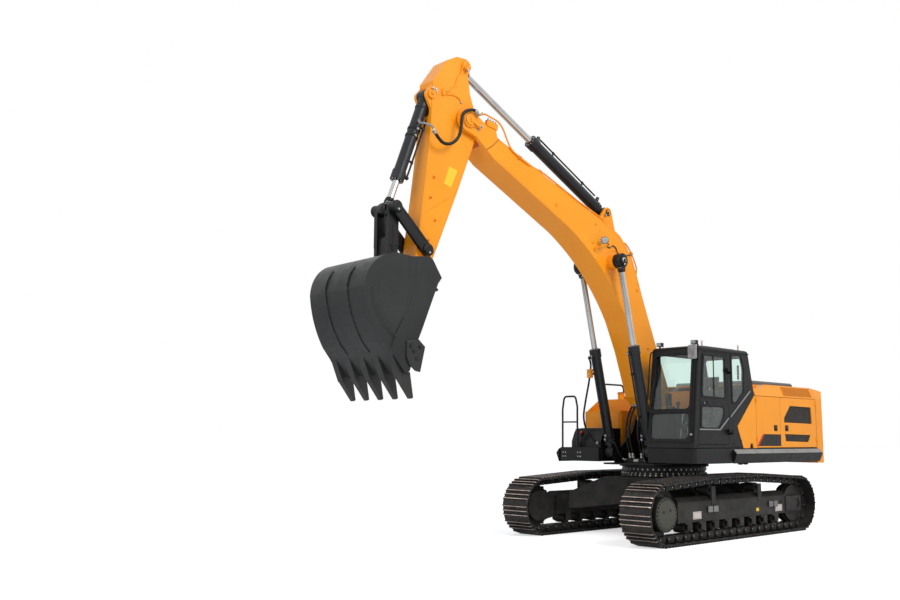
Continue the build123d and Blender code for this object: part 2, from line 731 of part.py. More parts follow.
def make_body_shell():
    """Roof of the engine bay with chamfered shoulders, its posts and the bulkhead in front."""
    y, z = BODY_HALF_WIDTH, BODY_SHOULDER
    top_y = BODY_HALF_WIDTH - SHOULDER_INSET
    arch = (
        (y, z),
        (top_y, BODY_TOP),
        (-top_y, BODY_TOP),
        (-y, z),
        (-y + PANEL, z),
        (-top_y + PANEL, BODY_TOP - PANEL),
        (top_y - PANEL, BODY_TOP - PANEL),
        (y - PANEL, z),
    )
    with BuildPart() as shell:
        extrude(cross_outline(BODY_REAR_X, *arch), amount=BODY_FRONT_X - BODY_REAR_X)
        # lowered corner behind the cab, its floor and its sloping rear wall
        extrude(
            side_outline(
                y + 1,
                (BODY_FRONT_X + 1, ROOF_STEP_Z),
                (BODY_FRONT_X - 240, ROOF_STEP_Z),
                (BODY_FRONT_X - 480, BODY_TOP + 1),
                (BODY_FRONT_X + 1, BODY_TOP + 1),
            ),
            amount=241,
            mode=Mode.SUBTRACT,
        )
        extrude(
            side_outline(
                top_y + 20,
                (BODY_FRONT_X, ROOF_STEP_Z - PANEL),
                (BODY_FRONT_X, ROOF_STEP_Z),
                (BODY_FRONT_X - 240, ROOF_STEP_Z),
                (BODY_FRONT_X - 480, BODY_TOP),
                (BODY_FRONT_X - 530, BODY_TOP),
                (BODY_FRONT_X - 250, ROOF_STEP_Z - PANEL),
            ),
            amount=190,
        )
        block(
            (BODY_FRONT_X - 500, BODY_FRONT_X),
            (y - 270, y - 240),
            (ROOF_STEP_Z - PANEL, BODY_TOP),
        )
        block((BODY_FRONT_X - PANEL, BODY_FRONT_X), (TANK_INNER_Y, y - 60), (DECK_TOP, ROOF_STEP_Z))
        block(
            (BODY_FRONT_X - PANEL - 1, BODY_FRONT_X + 1),
            (-FOOT_OUT_Y - SEAM, FOOT_OUT_Y + SEAM),
            (DECK_TOP - 1, HOSE_GATE_TOP),
            mode=Mode.SUBTRACT,
        )
        for x in (BODY_FRONT_X - POST, DOOR_SPLIT_X, BODY_REAR_X + POST):
            for side in (-1, 1):
                outer = side * (y - PANEL - SEAM)
                block((x - POST / 2, x + POST / 2), (outer - side * POST, outer), (DECK_TOP, z + 20))
        block(HOOD_X, HOOD_Y, (BODY_TOP - PANEL - 1, BODY_TOP + 1), mode=Mode.SUBTRACT)
        fixed_hinges(LEFT_FRONT_HINGE_X, BODY_FRONT_X - POST, 1)
        for side in (-1, 1):
            fixed_hinges(REAR_HINGE_X, BODY_REAR_X + POST, side)
        for y0 in HOOD_HINGES_Y:
            with Locations((HOOD_HINGE[0], y0 + 15, HOOD_HINGE[1])):
                Cylinder(HINGE_RADIUS, 30, rotation=(90, 0, 0))
            with Locations((HOOD_HINGE[0], y0 + 45, HOOD_HINGE[1])):
                Cylinder(HINGE_PIN, 90, rotation=(90, 0, 0))
            block(
                (HOOD_HINGE[0] - 30, HOOD_HINGE[0]), (y0, y0 + 30), (BODY_TOP, HOOD_HINGE[1])
            )
    return shell


def make_side_door(x, side, pin_x, windows=()):
    """Hinged body panel between the limits x, with windows as lists of (x, z) corners."""
    outer = side * BODY_HALF_WIDTH
    start = outer if side > 0 else outer + PANEL
    leaf_x = pin_x + (44 if pin_x < x[0] else -44)
    with BuildPart() as door:
        extrude(
            side_outline(
                start,
                (x[0], DECK_TOP + SEAM),
                (x[1], DECK_TOP + SEAM),
                (x[1], BODY_SHOULDER - SEAM),
                (x[0], BODY_SHOULDER - SEAM),
            ),
            amount=PANEL,
        )
        for window in windows:
            extrude(side_outline(start + 1, *window), amount=PANEL + 2, mode=Mode.SUBTRACT)
        door_hinges(pin_x, leaf_x, side)
    return door


UPPER_GRILLE = ((-1645, 1930), (-2665, 1915), (-2645, 2225), (-1870, 2235), (-1650, 2010))
LOWER_GRILLE = ((-1685, 1593), (-2515, 1576), (-2600, 1708), (-1660, 1721))
LEFT_FRONT_DOOR_X = (DOOR_SPLIT_X + SEAM / 2, BODY_FRONT_X - SEAM)
REAR_DOOR_X = (BODY_REAR_X + SEAM, DOOR_SPLIT_X - SEAM / 2)


def make_front_panel():
    """Fixed left panel that fills the space behind the cab's slanting rear edge."""
    y = BODY_HALF_WIDTH
    with BuildPart() as panel:
        extrude(
            side_outline(
                y,
                (BODY_FRONT_X + 1, DECK_TOP),
                (-590, DECK_TOP),
                (-570, 1555),
                (-500, 1555),
                (-480, DECK_TOP),
                (CAB_HEEL[0] - 12, DECK_TOP),
                (CAB_KNEE[0] - 14, CAB_KNEE[1]),
                (CAB_HIP[0] - 14, CAB_HIP[1] - 6),
                (BODY_FRONT_X + 1, CAB_HIP[1] - 6),
            ),
            amount=PANEL,
        )
    return panel


def make_grilles():
    """Louvred inserts in the rear door's two windows, seated in their edges."""
    y = BODY_HALF_WIDTH - PANEL + 6
    with BuildPart() as grilles:
        for window in (UPPER_GRILLE, LOWER_GRILLE):
            extrude(side_outline(y, *window), amount=6)
            low = min(z for _, z in window)
            high = max(z for _, z in window)
            count = int((high - low) / 42)
            for i in range(1, count):
                z = low + (high - low) * i / count
                with BuildSketch(side_plane(y + 14)):
                    with BuildLine():
                        Polyline(*window, close=True)
                    make_face()
                    with Locations(((window[0][0] + window[1][0]) / 2, z)):
                        Rectangle(1400, 12, mode=Mode.INTERSECT)
                extrude(amount=14)
    return grilles


def make_engine_hood():
    """Lid over the engine with turned-down edges, hinged behind."""
    x, y = HOOD_X, HOOD_Y
    low = BODY_TOP + 2
    with BuildPart() as hood:
        block(
            (x[0] - HOOD_RIM, x[1] + HOOD_RIM),
            (y[0] - HOOD_RIM, y[1] + HOOD_RIM),
            (low, low + HOOD_HEIGHT),
        )
        fillet(hood.edges().filter_by(Axis.Z), 60)
        chamfer(hood.faces().sort_by(Axis.Z)[-1].edges(), 30)
        block(
            (x[0] + 12, x[1] - 12),
            (y[0] + 12, y[1] - 12),
            (low - 1, low + HOOD_HEIGHT - PANEL),
            mode=Mode.SUBTRACT,
        )
        for y0 in HOOD_HINGES_Y:
            block(
                (HOOD_HINGE[0], x[0] - HOOD_RIM + 1),
                (y0 + 31, y0 + 90),
                (low + 4, HOOD_HINGE[1] + HINGE_RADIUS),
            )
            with Locations((HOOD_HINGE[0], y0 + 60.5, HOOD_HINGE[1])):
                Cylinder(HINGE_RADIUS, 59, rotation=(90, 0, 0))
                Cylinder(HINGE_PIN + PIN_CLEARANCE, 64, rotation=(90, 0, 0), mode=Mode.SUBTRACT)
    return hood


engine_block = make_engine_block()
body_shell = make_body_shell()
front_panel = make_front_panel()
door_left_front = make_side_door(LEFT_FRONT_DOOR_X, 1, LEFT_FRONT_HINGE_X)
door_left_rear = make_side_door(REAR_DOOR_X, 1, REAR_HINGE_X, (UPPER_GRILLE, LOWER_GRILLE))
door_right = make_side_door(REAR_DOOR_X, -1, REAR_HINGE_X)
grilles_left = make_grilles()
engine_hood = make_engine_hood()


# ---------------------------------------------------------------- tanks, tool box and rails
def make_fuel_tank():
    """Steel tank with a step cut into its front, a sloping outer cheek and a filler cap."""
    inner, outer = TANK_INNER_Y, TANK_OUTER_Y
    with BuildPart() as tank:
        block((TANK_REAR_X, TANK_FRONT_X), (outer, inner), (DECK_TOP, TANK_STEP_Z))
        block((TANK_REAR_X, TANK_STEP_X), (outer, inner), (TANK_STEP_Z, TANK_TOP_Z))
        fillet(tank.edges().filter_by(Axis.Z).group_by(Axis.X)[-1], 50)
        extrude(
            side_outline(
                outer + 14,
                (TANK_STEP_X, TANK_STEP_Z),
                (TANK_FRONT_X - 90, TANK_STEP_Z),
                (TANK_FRONT_X - 90, TANK_STEP_Z + 12),
                (TANK_STEP_X, TANK_TOP_Z),
            ),
            amount=14,
        )
        with Locations((-30, (inner + outer) / 2, TANK_TOP_Z + 55)):
            Cylinder(62, 110)
        with Locations((-30, (inner + outer) / 2, TANK_TOP_Z + 116)):
            Cylinder(78, 14)
    return tank


def make_hydraulic_tank():
    """Oil tank behind the fuel tank."""
    x = (DOOR_SPLIT_X + POST, BODY_FRONT_X - 2 * POST)
    with BuildPart() as tank:
        block(x, (TANK_OUTER_Y, TANK_INNER_Y), (DECK_TOP, BODY_SHOULDER))
        fillet(tank.edges().filter_by(Axis.Z), 36)
    return tank


def make_tool_box():
    """Bevelled steel box that is also the step up to the tanks."""
    rear_x, front_x = TANK_FRONT_X + 12, TOOL_BOX_FRONT_X
    with BuildPart() as box:
        extrude(
            side_outline(
                TANK_INNER_Y,
                (rear_x, DECK_TOP),
                (front_x, DECK_TOP),
                (front_x, DECK_TOP + 110),
                (front_x - 105, TOOL_BOX_TOP),
                (rear_x, TOOL_BOX_TOP),
            ),
            amount=TANK_INNER_Y - TOOL_BOX_OUTER_Y,
        )
        chamfer(box.faces().sort_by(Axis.Y)[0].edges().sort_by(Axis.Z)[-1], 60)
    return box


def make_handrails():
    """Bent tube rails: a hoop by the front step and one along the tank's outer edge."""
    front_x = DECK_FRONT_X - 34
    rail_y = TANK_OUTER_Y + 70
    with BuildPart() as rails:
        with BuildLine(cross_plane(front_x)) as hoop:
            FilletPolyline(
                (-1431, DECK_TOP),
                (-1431, 2150),
                (-1390, 2385),
                (-1115, 2385),
                (-1070, 2200),
                (-1070, DECK_TOP),
                radius=70,
            )
        with BuildSketch(Plane(origin=hoop.line @ 0, z_dir=hoop.line % 0)):
            Circle(RAIL_RADIUS)
        sweep(path=hoop.line)
        with Locations((front_x, -1250, 1925)):
            Cylinder(RAIL_RADIUS * 0.8, 350, rotation=(90, 0, 0))
        with BuildLine(side_plane(rail_y)) as along_tank:
            FilletPolyline(
                (40, TANK_TOP_Z),
                (40, TANK_TOP_Z + 300),
                (-560, TANK_TOP_Z + 300),
                (-560, TANK_TOP_Z),
                radius=90,
            )
        with BuildSketch(Plane(origin=along_tank.line @ 0, z_dir=along_tank.line % 0)):
            Circle(RAIL_RADIUS)
        sweep(path=along_tank.line)
    return rails


def make_exhaust():
    """Outlet pipe on the engine bay's roof, cut slanting at its mouth."""
    with BuildPart() as exhaust:
        with Locations((EXHAUST_AT[0], EXHAUST_AT[1], BODY_TOP + 14)):
            Cylinder(110, 28)
        with Locations((EXHAUST_AT[0], EXHAUST_AT[1], BODY_TOP + 28 + EXHAUST_HEIGHT / 2)):
            Cylinder(EXHAUST_RADIUS, EXHAUST_HEIGHT)
        mouth = BODY_TOP + 28 + EXHAUST_HEIGHT
        extrude(
            side_outline(
                EXHAUST_AT[1] + EXHAUST_RADIUS + 1,
                (EXHAUST_AT[0] - EXHAUST_RADIUS - 1, mouth - 80),
                (EXHAUST_AT[0] + EXHAUST_RADIUS + 1, mouth + 1),
                (EXHAUST_AT[0] - EXHAUST_RADIUS - 1, mouth + 1),
            ),
            amount=2 * EXHAUST_RADIUS + 2,
            mode=Mode.SUBTRACT,
        )
        with Locations((EXHAUST_AT[0], EXHAUST_AT[1], mouth - 60)):
            Cylinder(EXHAUST_RADIUS - 8, 130, mode=Mode.SUBTRACT)
    return exhaust


fuel_tank = make_fuel_tank()
hydraulic_tank = make_hydraulic_tank()
tool_box = make_tool_box()
handrails = make_handrails()
exhaust = make_exhaust()


# ---------------------------------------------------------------- cab
CAB_LEAN = atan2(CAB_FRONT_LEAN, CAB_TOP_Z - CAB_FLOOR_Z)
DOOR_SILL = 55.0
DOOR_THICKNESS = 40.0
CAB_DOOR_HINGE = (140.0, BODY_HALF_WIDTH + 62.0)
CAB_HINGES_Z = (1700.0, 2720.0)


def cab_front_x(z):
    """Where the cab's leaning front face stands at height z."""
    return CAB_FRONT_X - (z - CAB_FLOOR_Z) * CAB_FRONT_LEAN / (CAB_TOP_Z - CAB_FLOOR_Z)


def cab_side():
    """The cab's side outline as (x, z) corners."""
    return (
        CAB_HEEL,
        (cab_front_x(CAB_FLOOR_Z), CAB_FLOOR_Z),
        (cab_front_x(CAB_TOP_Z), CAB_TOP_Z),
        (CAB_REAR_TOP_X, CAB_TOP_Z),
        CAB_HIP,
        CAB_KNEE,
    )


def door_corners(inset):
    """The door opening's (x, z) corners, drawn in by an inset."""
    low, high = CAB_FLOOR_Z + DOOR_SILL + inset, CAB_TOP_Z - 100 - inset
    rear = CAB_DOOR_REAR_X + inset
    return (
        (rear, low),
        (cab_front_x(low) - 95 - inset, low),
        (cab_front_x(high) - 95 - inset, high),
        (rear, high),
    )


def leaning_plane(at, lean):
    """Plane across the cab through at = (x, z): its own axes are y and up the slope."""
    return Plane(origin=(at[0], 0, at[1]), x_dir=(0, 1, 0), z_dir=(cos(lean), 0, sin(lean)))


FRONT_PLANE = leaning_plane((CAB_FRONT_X, CAB_FLOOR_Z), CAB_LEAN)
REAR_LEAN = atan2(CAB_REAR_TOP_X - CAB_HIP[0], CAB_TOP_Z - CAB_HIP[1])
REAR_PLANE = Plane(
    origin=(CAB_HIP[0], 0, CAB_HIP[1]),
    x_dir=(0, -1, 0),
    z_dir=(-cos(REAR_LEAN), 0, sin(REAR_LEAN)),
)
LEFT_PLANE = Plane(origin=(0, BODY_HALF_WIDTH, 0), x_dir=(-1, 0, 0), z_dir=(0, 1, 0))
RIGHT_PLANE = Plane(origin=(0, CAB_INNER_Y, 0), x_dir=(1, 0, 0), z_dir=(0, -1, 0))
ROOF_PLANE = Plane.XY.offset(CAB_TOP_Z)

# window: plane, corners in the plane's own axes, corner radius
CAB_WINDOWS = (
    (FRONT_PLANE, ((600, 620), (1375, 620), (1375, 1545), (600, 1545)), 60),
    (FRONT_PLANE, ((600, 130), (1375, 130), (1375, 570), (600, 570)), 60),
    (REAR_PLANE, ((-1370, 130), (-600, 130), (-600, 660), (-1370, 660)), 60),
    (LEFT_PLANE, ((-35, 2235), (80, 2235), (315, 2435), (340, 2830), (262, 3055), (-35, 3055)), 22),
    (RIGHT_PLANE, ((-440, 2420), (-60, 2060), (820, 2060), (820, 3040), (-380, 3040)), 50),
    (ROOF_PLANE, ((-150, 700), (620, 700), (620, 1270), (-150, 1270)), 50),
)
DOOR_WINDOWS = (
    (LEFT_PLANE, ((-925, 2320), (-240, 2300), (-240, 3000), (-860, 3000)), 26),
    (LEFT_PLANE, ((-965, 1805), (-460, 1805), (-300, 2010), (-290, 2155), (-940, 2160)), 22),
)


def window_sketch(window, inset=0.0):
    """A window's outline with rounded corners, drawn in by an inset."""
    plane, corners, radius = window
    with BuildSketch(plane) as outline:
        with BuildLine():
            Polyline(*corners, close=True)
        make_face()
        fillet(outline.vertices(), radius)
        if inset:
            offset(amount=-inset)
    return outline.sketch


def make_cab_shell():
    """Hollow cab with a rounded roof, its window openings and the door opening."""
    inner_low, inner_high = CAB_INNER_Y + CAB_WALL, BODY_HALF_WIDTH - CAB_WALL
    with BuildPart() as cab:
        extrude(side_outline(BODY_HALF_WIDTH, *cab_side()), amount=BODY_HALF_WIDTH - CAB_INNER_Y)
        fillet(cab.faces().sort_by(Axis.Z)[-1].edges(), 55)
        with BuildSketch(side_plane(inner_high)):
            with BuildLine():
                Polyline(*cab_side(), close=True)
            make_face()
            offset(amount=-CAB_WALL)
        extrude(amount=inner_high - inner_low, mode=Mode.SUBTRACT)
        for window in CAB_WINDOWS:
            extrude(window_sketch(window), amount=-CAB_WALL - 20, mode=Mode.SUBTRACT)
        extrude(
            side_outline(BODY_HALF_WIDTH + 1, *door_corners(0)),
            amount=CAB_WALL + 2,
            mode=Mode.SUBTRACT,
        )
        for z in CAB_HINGES_Z:
            block(
                (CAB_DOOR_HINGE[0] - 18, CAB_DOOR_HINGE[0] + 18),
                (BODY_HALF_WIDTH - 1, CAB_DOOR_HINGE[1]),
                (z, z + 34),
            )
            with Locations((*CAB_DOOR_HINGE, z + 17)):
                Cylinder(18, 34)
            with Locations((*CAB_DOOR_HINGE, z + 45)):
                Cylinder(9, 90)
        # levelling feet between the cab and its deck
        for x in (-200, 1050):
            for y in (CAB_INNER_Y + 90, BODY_HALF_WIDTH - 90):
                with Locations((x, y, (DECK_TOP + CAB_FLOOR_Z) / 2)):
                    Cylinder(45, CAB_FLOOR_Z - DECK_TOP)
    return cab


def make_glass(windows):
    """Panes that fill the windows flush with the outside, less the seal."""
    with BuildPart() as glass:
        for window in windows:
            extrude(window_sketch(window, GLASS_SEAL), amount=-GLASS)
    return glass


def make_cab_door():
    """Framed door with two windows, hung outside the rear edge of its opening."""
    with BuildPart() as door:
        extrude(side_outline(BODY_HALF_WIDTH, *door_corners(SEAM)), amount=DOOR_THICKNESS)
        for window in DOOR_WINDOWS:
            extrude(window_sketch(window), amount=-DOOR_THICKNESS - 1, mode=Mode.SUBTRACT)
        for z in CAB_HINGES_Z:
            low, high = z + 35, z + 88
            block(
                (CAB_DOOR_HINGE[0], CAB_DOOR_REAR_X + 68),
                (BODY_HALF_WIDTH - 1, CAB_DOOR_HINGE[1]),
                (low, high),
            )
            block(
                (CAB_DOOR_HINGE[0] - 19, CAB_DOOR_REAR_X + SEAM),
                (BODY_HALF_WIDTH - 2, BODY_HALF_WIDTH + 24),
                (low - 1, high + 1),
                mode=Mode.SUBTRACT,
            )
            with Locations((*CAB_DOOR_HINGE, (low + high) / 2)):
                Cylinder(18, high - low)
                Cylinder(9 + PIN_CLEARANCE, high - low + 4, mode=Mode.SUBTRACT)
    return door


def make_seat():
    """Operator's seat on its box, with armrests."""
    y = (CAB_INNER_Y + BODY_HALF_WIDTH) / 2
    floor = CAB_FLOOR_Z + CAB_WALL
    with BuildPart() as seat:
        block((20, 440), (y - 190, y + 190), (floor, floor + 260))
        block((-10, 500), (y - SEAT_HALF_WIDTH, y + SEAT_HALF_WIDTH), (floor + 260, floor + 400))
        extrude(
            side_outline(
                y + SEAT_HALF_WIDTH - 5,
                (-20, floor + 330),
                (130, floor + 330),
                (30, floor + 960),
                (-100, floor + 960),
            ),
            amount=2 * SEAT_HALF_WIDTH - 10,
        )
        extrude(
            side_outline(
                y + 140,
                (-90, floor + 950),
                (10, floor + 950),
                (-10, floor + 1170),
                (-100, floor + 1170),
            ),
            amount=280,
        )
        fillet(seat.edges().filter_by(Axis.Y).group_by(Axis.X)[-1], 40)
    return seat


def make_consoles():
    """Consoles that fill the room beside the seat, joysticks, travel levers and display."""
    middle = (CAB_INNER_Y + BODY_HALF_WIDTH) / 2
    floor = CAB_FLOOR_Z + CAB_WALL
    near = SEAT_HALF_WIDTH + 20
    half = (BODY_HALF_WIDTH - CAB_WALL - CONSOLE_GAP - middle - near) / 2
    with BuildPart() as consoles:
        for side in (-1, 1):
            y = middle + side * (near + half)
            block((-30, 420), (y - half, y + half), (floor, floor + 330))
            extrude(
                side_outline(
                    y + half - 5,
                    (-30, floor + 330),
                    (420, floor + 330),
                    (520, floor + 520),
                    (0, floor + 480),
                ),
                amount=2 * half - 10,
            )
            with Locations((455, y, floor + 590)):
                Cylinder(16, 190)
            with Locations((455, y, floor + 700)):
                Sphere(38)
            with Locations((760, middle + side * 70, floor + 210)):
                Cylinder(11, 420)
            block(
                (700, 850), (middle + side * 70 - 45, middle + side * 70 + 45), (floor, floor + 40)
            )
        # display on a bracket from the cab's right wall
        wall = CAB_INNER_Y + CAB_WALL
        block((640, 700), (wall, wall + 84), (floor + 640, floor + 860))
        block((655, 685), (wall, wall + 24), (floor + 430, floor + 640))
    return consoles


def make_cab_fittings():
    """Roof lamps, lifting eyes and the mirror on its arm."""
    top = CAB_TOP_Z
    with BuildPart() as fittings:
        for y in (CAB_INNER_Y + 110, BODY_HALF_WIDTH - 110):
            block((855, 905), (y - 12, y + 12), (top, top + 36))
            with Locations((890, y, top + 70)):
                Cylinder(48, 66, rotation=(0, 90, 0))
        for x, y in ((760, BODY_HALF_WIDTH - 90), (-330, BODY_HALF_WIDTH - 90)):
            with Locations((x, y, top + 22)):
                Cylinder(10, 44)
            with Locations((x, y, top + 58)):
                Torus(24, 8, rotation=(90, 0, 0))
        block((900, MIRROR_X + 20), (1425, 1445), (top, top + 20))
        block((MIRROR_X, MIRROR_X + 50), (1330, 1500), (top - 235, top + 4))
    return fittings


cab_shell = make_cab_shell()
cab_glass = make_glass(CAB_WINDOWS)
cab_door = make_cab_door()
door_glass = make_glass(DOOR_WINDOWS)
seat = make_seat()
consoles = make_consoles()
cab_fittings = make_cab_fittings()


# ---------------------------------------------------------------- boom
BOOM_FOOT_RADIUS = 210.0
BOOM_TIP_RADIUS = 180.0
BOOM_FOOT_HALF_WIDTH = FOOT_PLATE_Y - 15
BOOM_FORK_HALF_WIDTH = ARM_HALF_WIDTH + 15
BOOM_FORK_REACH = 430.0
BOOM_EYE_FACE_Y = 370.0     # outer face of the bosses beside the boom cylinders' rod eyes
ARM_CYLINDER_EAR_Y = (80.0, 130.0)
FOOT_PIN_RADIUS = 62.0
ARM_PIN_RADIUS = 60.0
CYLINDER_PIN_RADIUS = 45.0


def circle_point(centre, radius, angle):
    """Point (x, z) on a circle at an angle in degrees from +x towards +z."""
    return (
        centre[0] + radius * cos(radians(angle)),
        centre[1] + radius * sin(radians(angle)),
    )


def make_boom():
    """Gooseneck box boom with its foot, tip fork, cylinder bosses and ears."""
    foot_top = circle_point(BOOM_FOOT, BOOM_FOOT_RADIUS, 155)
    foot_low = circle_point(BOOM_FOOT, BOOM_FOOT_RADIUS, -31)
    tip_low = circle_point(ARM_PIN, BOOM_TIP_RADIUS, -76)
    tip_top = circle_point(ARM_PIN, BOOM_TIP_RADIUS, 120)
    with BuildPart() as boom:
        with BuildSketch(side_plane(BOOM_HALF_WIDTH)):
            with BuildLine():
                Polyline(foot_low, (760, 2350), (1055, 3144), (1300, 3650))
                ThreePointArc((1300, 3650), (1860, 4360), (2750, 5030))
                Polyline((2750, 5030), (4434, 5822), (4790, 6090), tip_low)
                ThreePointArc(tip_low, circle_point(ARM_PIN, BOOM_TIP_RADIUS, 22), tip_top)
                Polyline(tip_top, (4313, 6151), (2484, 5477), (1900, 5290))
                ThreePointArc((1900, 5290), (1420, 5045), (1100, 4640))
                Polyline((1100, 4640), (460, 3185), foot_top)
                ThreePointArc(foot_top, circle_point(BOOM_FOOT, BOOM_FOOT_RADIUS, 242), foot_low)
            make_face()
        extrude(amount=2 * BOOM_HALF_WIDTH)
        bar(BOOM_FOOT, BOOM_FOOT_RADIUS, (-BOOM_FOOT_HALF_WIDTH, BOOM_FOOT_HALF_WIDTH))
        bar(ARM_PIN, BOOM_FORK_REACH, (-BOOM_FORK_HALF_WIDTH, BOOM_FORK_HALF_WIDTH), Mode.SUBTRACT)
        for side in (-1, 1):
            bar(BOOM_CYLINDER_EYE, 120, (side * BOOM_HALF_WIDTH, side * BOOM_EYE_FACE_Y))
            bar(ARM_PIN, 118, (side * BOOM_HALF_WIDTH, side * (BOOM_HALF_WIDTH + 24)))
            ear = ARM_CYLINDER_EAR_Y[1] if side > 0 else -ARM_CYLINDER_EAR_Y[0]
            extrude(
                hull_of(
                    ear,
                    (*ARM_CYLINDER_FOOT, 95),
                    (1430, 5000, 30),
                    (1930, 5230, 30),
                ),
                amount=ARM_CYLINDER_EAR_Y[1] - ARM_CYLINDER_EAR_Y[0],
            )
        bar(ARM_CYLINDER_FOOT, CYLINDER_PIN_RADIUS, (-150, 150))
        bar(BOOM_FOOT, FOOT_PIN_RADIUS + PIN_CLEARANCE, (-400, 400), Mode.SUBTRACT)
        bar(ARM_PIN, ARM_PIN_RADIUS, (-BOOM_HALF_WIDTH - 40, BOOM_HALF_WIDTH + 40))
    return boom


boom = make_boom()

# ---------------------------------------------------------------- arm
ARM_HEAD_RADIUS = 113.0
ARM_HEAD_SLOT = 85.0
ARM_HEAD_SLOT_REACH = 310.0
BUCKET_BARREL_SLOT = 92.0   # half width of the slot the bucket cylinder's foot stands in
BUCKET_EAR_OUT_Y = 140.0
ROCKER_Y = (180.0, 235.0)
ROCKER_PIN_RADIUS = 40.0
BUCKET_PIN_RADIUS = 45.0
BUCKET_EARS_Y = (172.0, 222.0)
LINK_EARS_Y = (100.0, 172.0)
LINK_PIN_STUB_Y = 96.0


def make_arm():
    """Box arm: forked head for its cylinder, ears for the bucket cylinder, pins at its tip."""
    head_top = circle_point(ARM_CYLINDER_EYE, ARM_HEAD_RADIUS, 80)
    head_rear = circle_point(ARM_CYLINDER_EYE, ARM_HEAD_RADIUS, 185)
    with BuildPart() as arm:
        with BuildSketch(side_plane(ARM_HALF_WIDTH)):
            with BuildLine():
                Polyline(
                    head_rear,
                    (4907, 7036),
                    (4862, 6748),
                    (4693, 6317),
                    (4768, 6016),
                    (5067, 5228),
                    (5509, 4148),
                    (5640, 3720),
                    (5900, 3760),
                    (5806, 4220),
                    (5741, 4733),
                    (5654, 5482),
                    (5597, 6092),
                    (5579, 6780),
                    (5323, 7165),
                    (5131, 7276),
                    head_top,
                )
                ThreePointArc(
                    head_top, circle_point(ARM_CYLINDER_EYE, ARM_HEAD_RADIUS, 130), head_rear
                )
            make_face()
        extrude(amount=2 * ARM_HALF_WIDTH)
        # the tip is thicker at its bucket pin
        bar(BUCKET_PIN, 150, (-ARM_TIP_HALF_WIDTH, ARM_TIP_HALF_WIDTH))
        extrude(
            side_outline(
                ARM_HALF_WIDTH + 1, (5500, 3500), (6100, 3500), (6100, 3738), (5500, 3698)
            ),
            amount=2 * ARM_HALF_WIDTH + 2,
            mode=Mode.SUBTRACT,
        )
        bar(BUCKET_PIN, 150, (-ARM_TIP_HALF_WIDTH, ARM_TIP_HALF_WIDTH))
        # forked head, and the slot with ears for the bucket cylinder's foot
        bar(ARM_CYLINDER_EYE, ARM_HEAD_SLOT_REACH, (-ARM_HEAD_SLOT, ARM_HEAD_SLOT), Mode.SUBTRACT)
        for y in (BUCKET_EAR_OUT_Y, -BUCKET_BARREL_SLOT):
            extrude(
                hull_of(y, (*BUCKET_CYLINDER_FOOT, 95), (5500, 6760, 40), (5520, 6300, 40)),
                amount=BUCKET_EAR_OUT_Y - BUCKET_BARREL_SLOT,
            )
        extrude(
            hull_of(
                BUCKET_BARREL_SLOT,
                (*BUCKET_CYLINDER_FOOT, 128),
                (*along(BUCKET_CYLINDER_FOOT, LINK_PIN, 0.2), 100),
            ),
            amount=2 * BUCKET_BARREL_SLOT,
            mode=Mode.SUBTRACT,
        )
        bar(BUCKET_CYLINDER_FOOT, CYLINDER_PIN_RADIUS, (-BUCKET_EAR_OUT_Y - 20, BUCKET_EAR_OUT_Y + 20))
        bar(ARM_PIN, ARM_PIN_RADIUS + PIN_CLEARANCE, (-200, 200), Mode.SUBTRACT)
        for side in (-1, 1):
            bar(ARM_CYLINDER_EYE, 80, (side * ARM_HALF_WIDTH, side * (ARM_HALF_WIDTH + 26)))
            bar(ROCKER_PIN, 85, (side * ARM_HALF_WIDTH, side * (ROCKER_Y[0] - FACE_GAP)))
            bar(ROCKER_PIN, 62, (side * (ROCKER_Y[1] + 2), side * (ROCKER_Y[1] + 26)))
        bar(ROCKER_PIN, ROCKER_PIN_RADIUS, (-ROCKER_Y[1] - 26, ROCKER_Y[1] + 26))
        bar(BUCKET_PIN, BUCKET_PIN_RADIUS, (-BUCKET_EARS_Y[1] - 40, BUCKET_EARS_Y[1] + 40))
        for side in (-1, 1):
            bar(
                BUCKET_PIN,
                70,
                (side * (BUCKET_EARS_Y[1] + 18), side * (BUCKET_EARS_Y[1] + 40)),
            )
    return arm


def make_rocker_links():
    """Pair of rocker links on the arm's pin, joined by the stubs of the link pin."""
    with BuildPart() as rockers:
        for y in (ROCKER_Y[1], -ROCKER_Y[0]):
            extrude(
                hull_of(y, (*ROCKER_PIN, 88), (*LINK_PIN, 82)),
                amount=ROCKER_Y[1] - ROCKER_Y[0],
            )
        for side in (-1, 1):
            bar(LINK_PIN, ROCKER_PIN_RADIUS, (side * LINK_PIN_STUB_Y, side * (ROCKER_Y[1] + 24)))
            bar(LINK_PIN, 60, (side * (ROCKER_Y[1] - 1), side * (ROCKER_Y[1] + 24)))
        bar(ROCKER_PIN, ROCKER_PIN_RADIUS + PIN_CLEARANCE, (-300, 300), Mode.SUBTRACT)
    return rockers


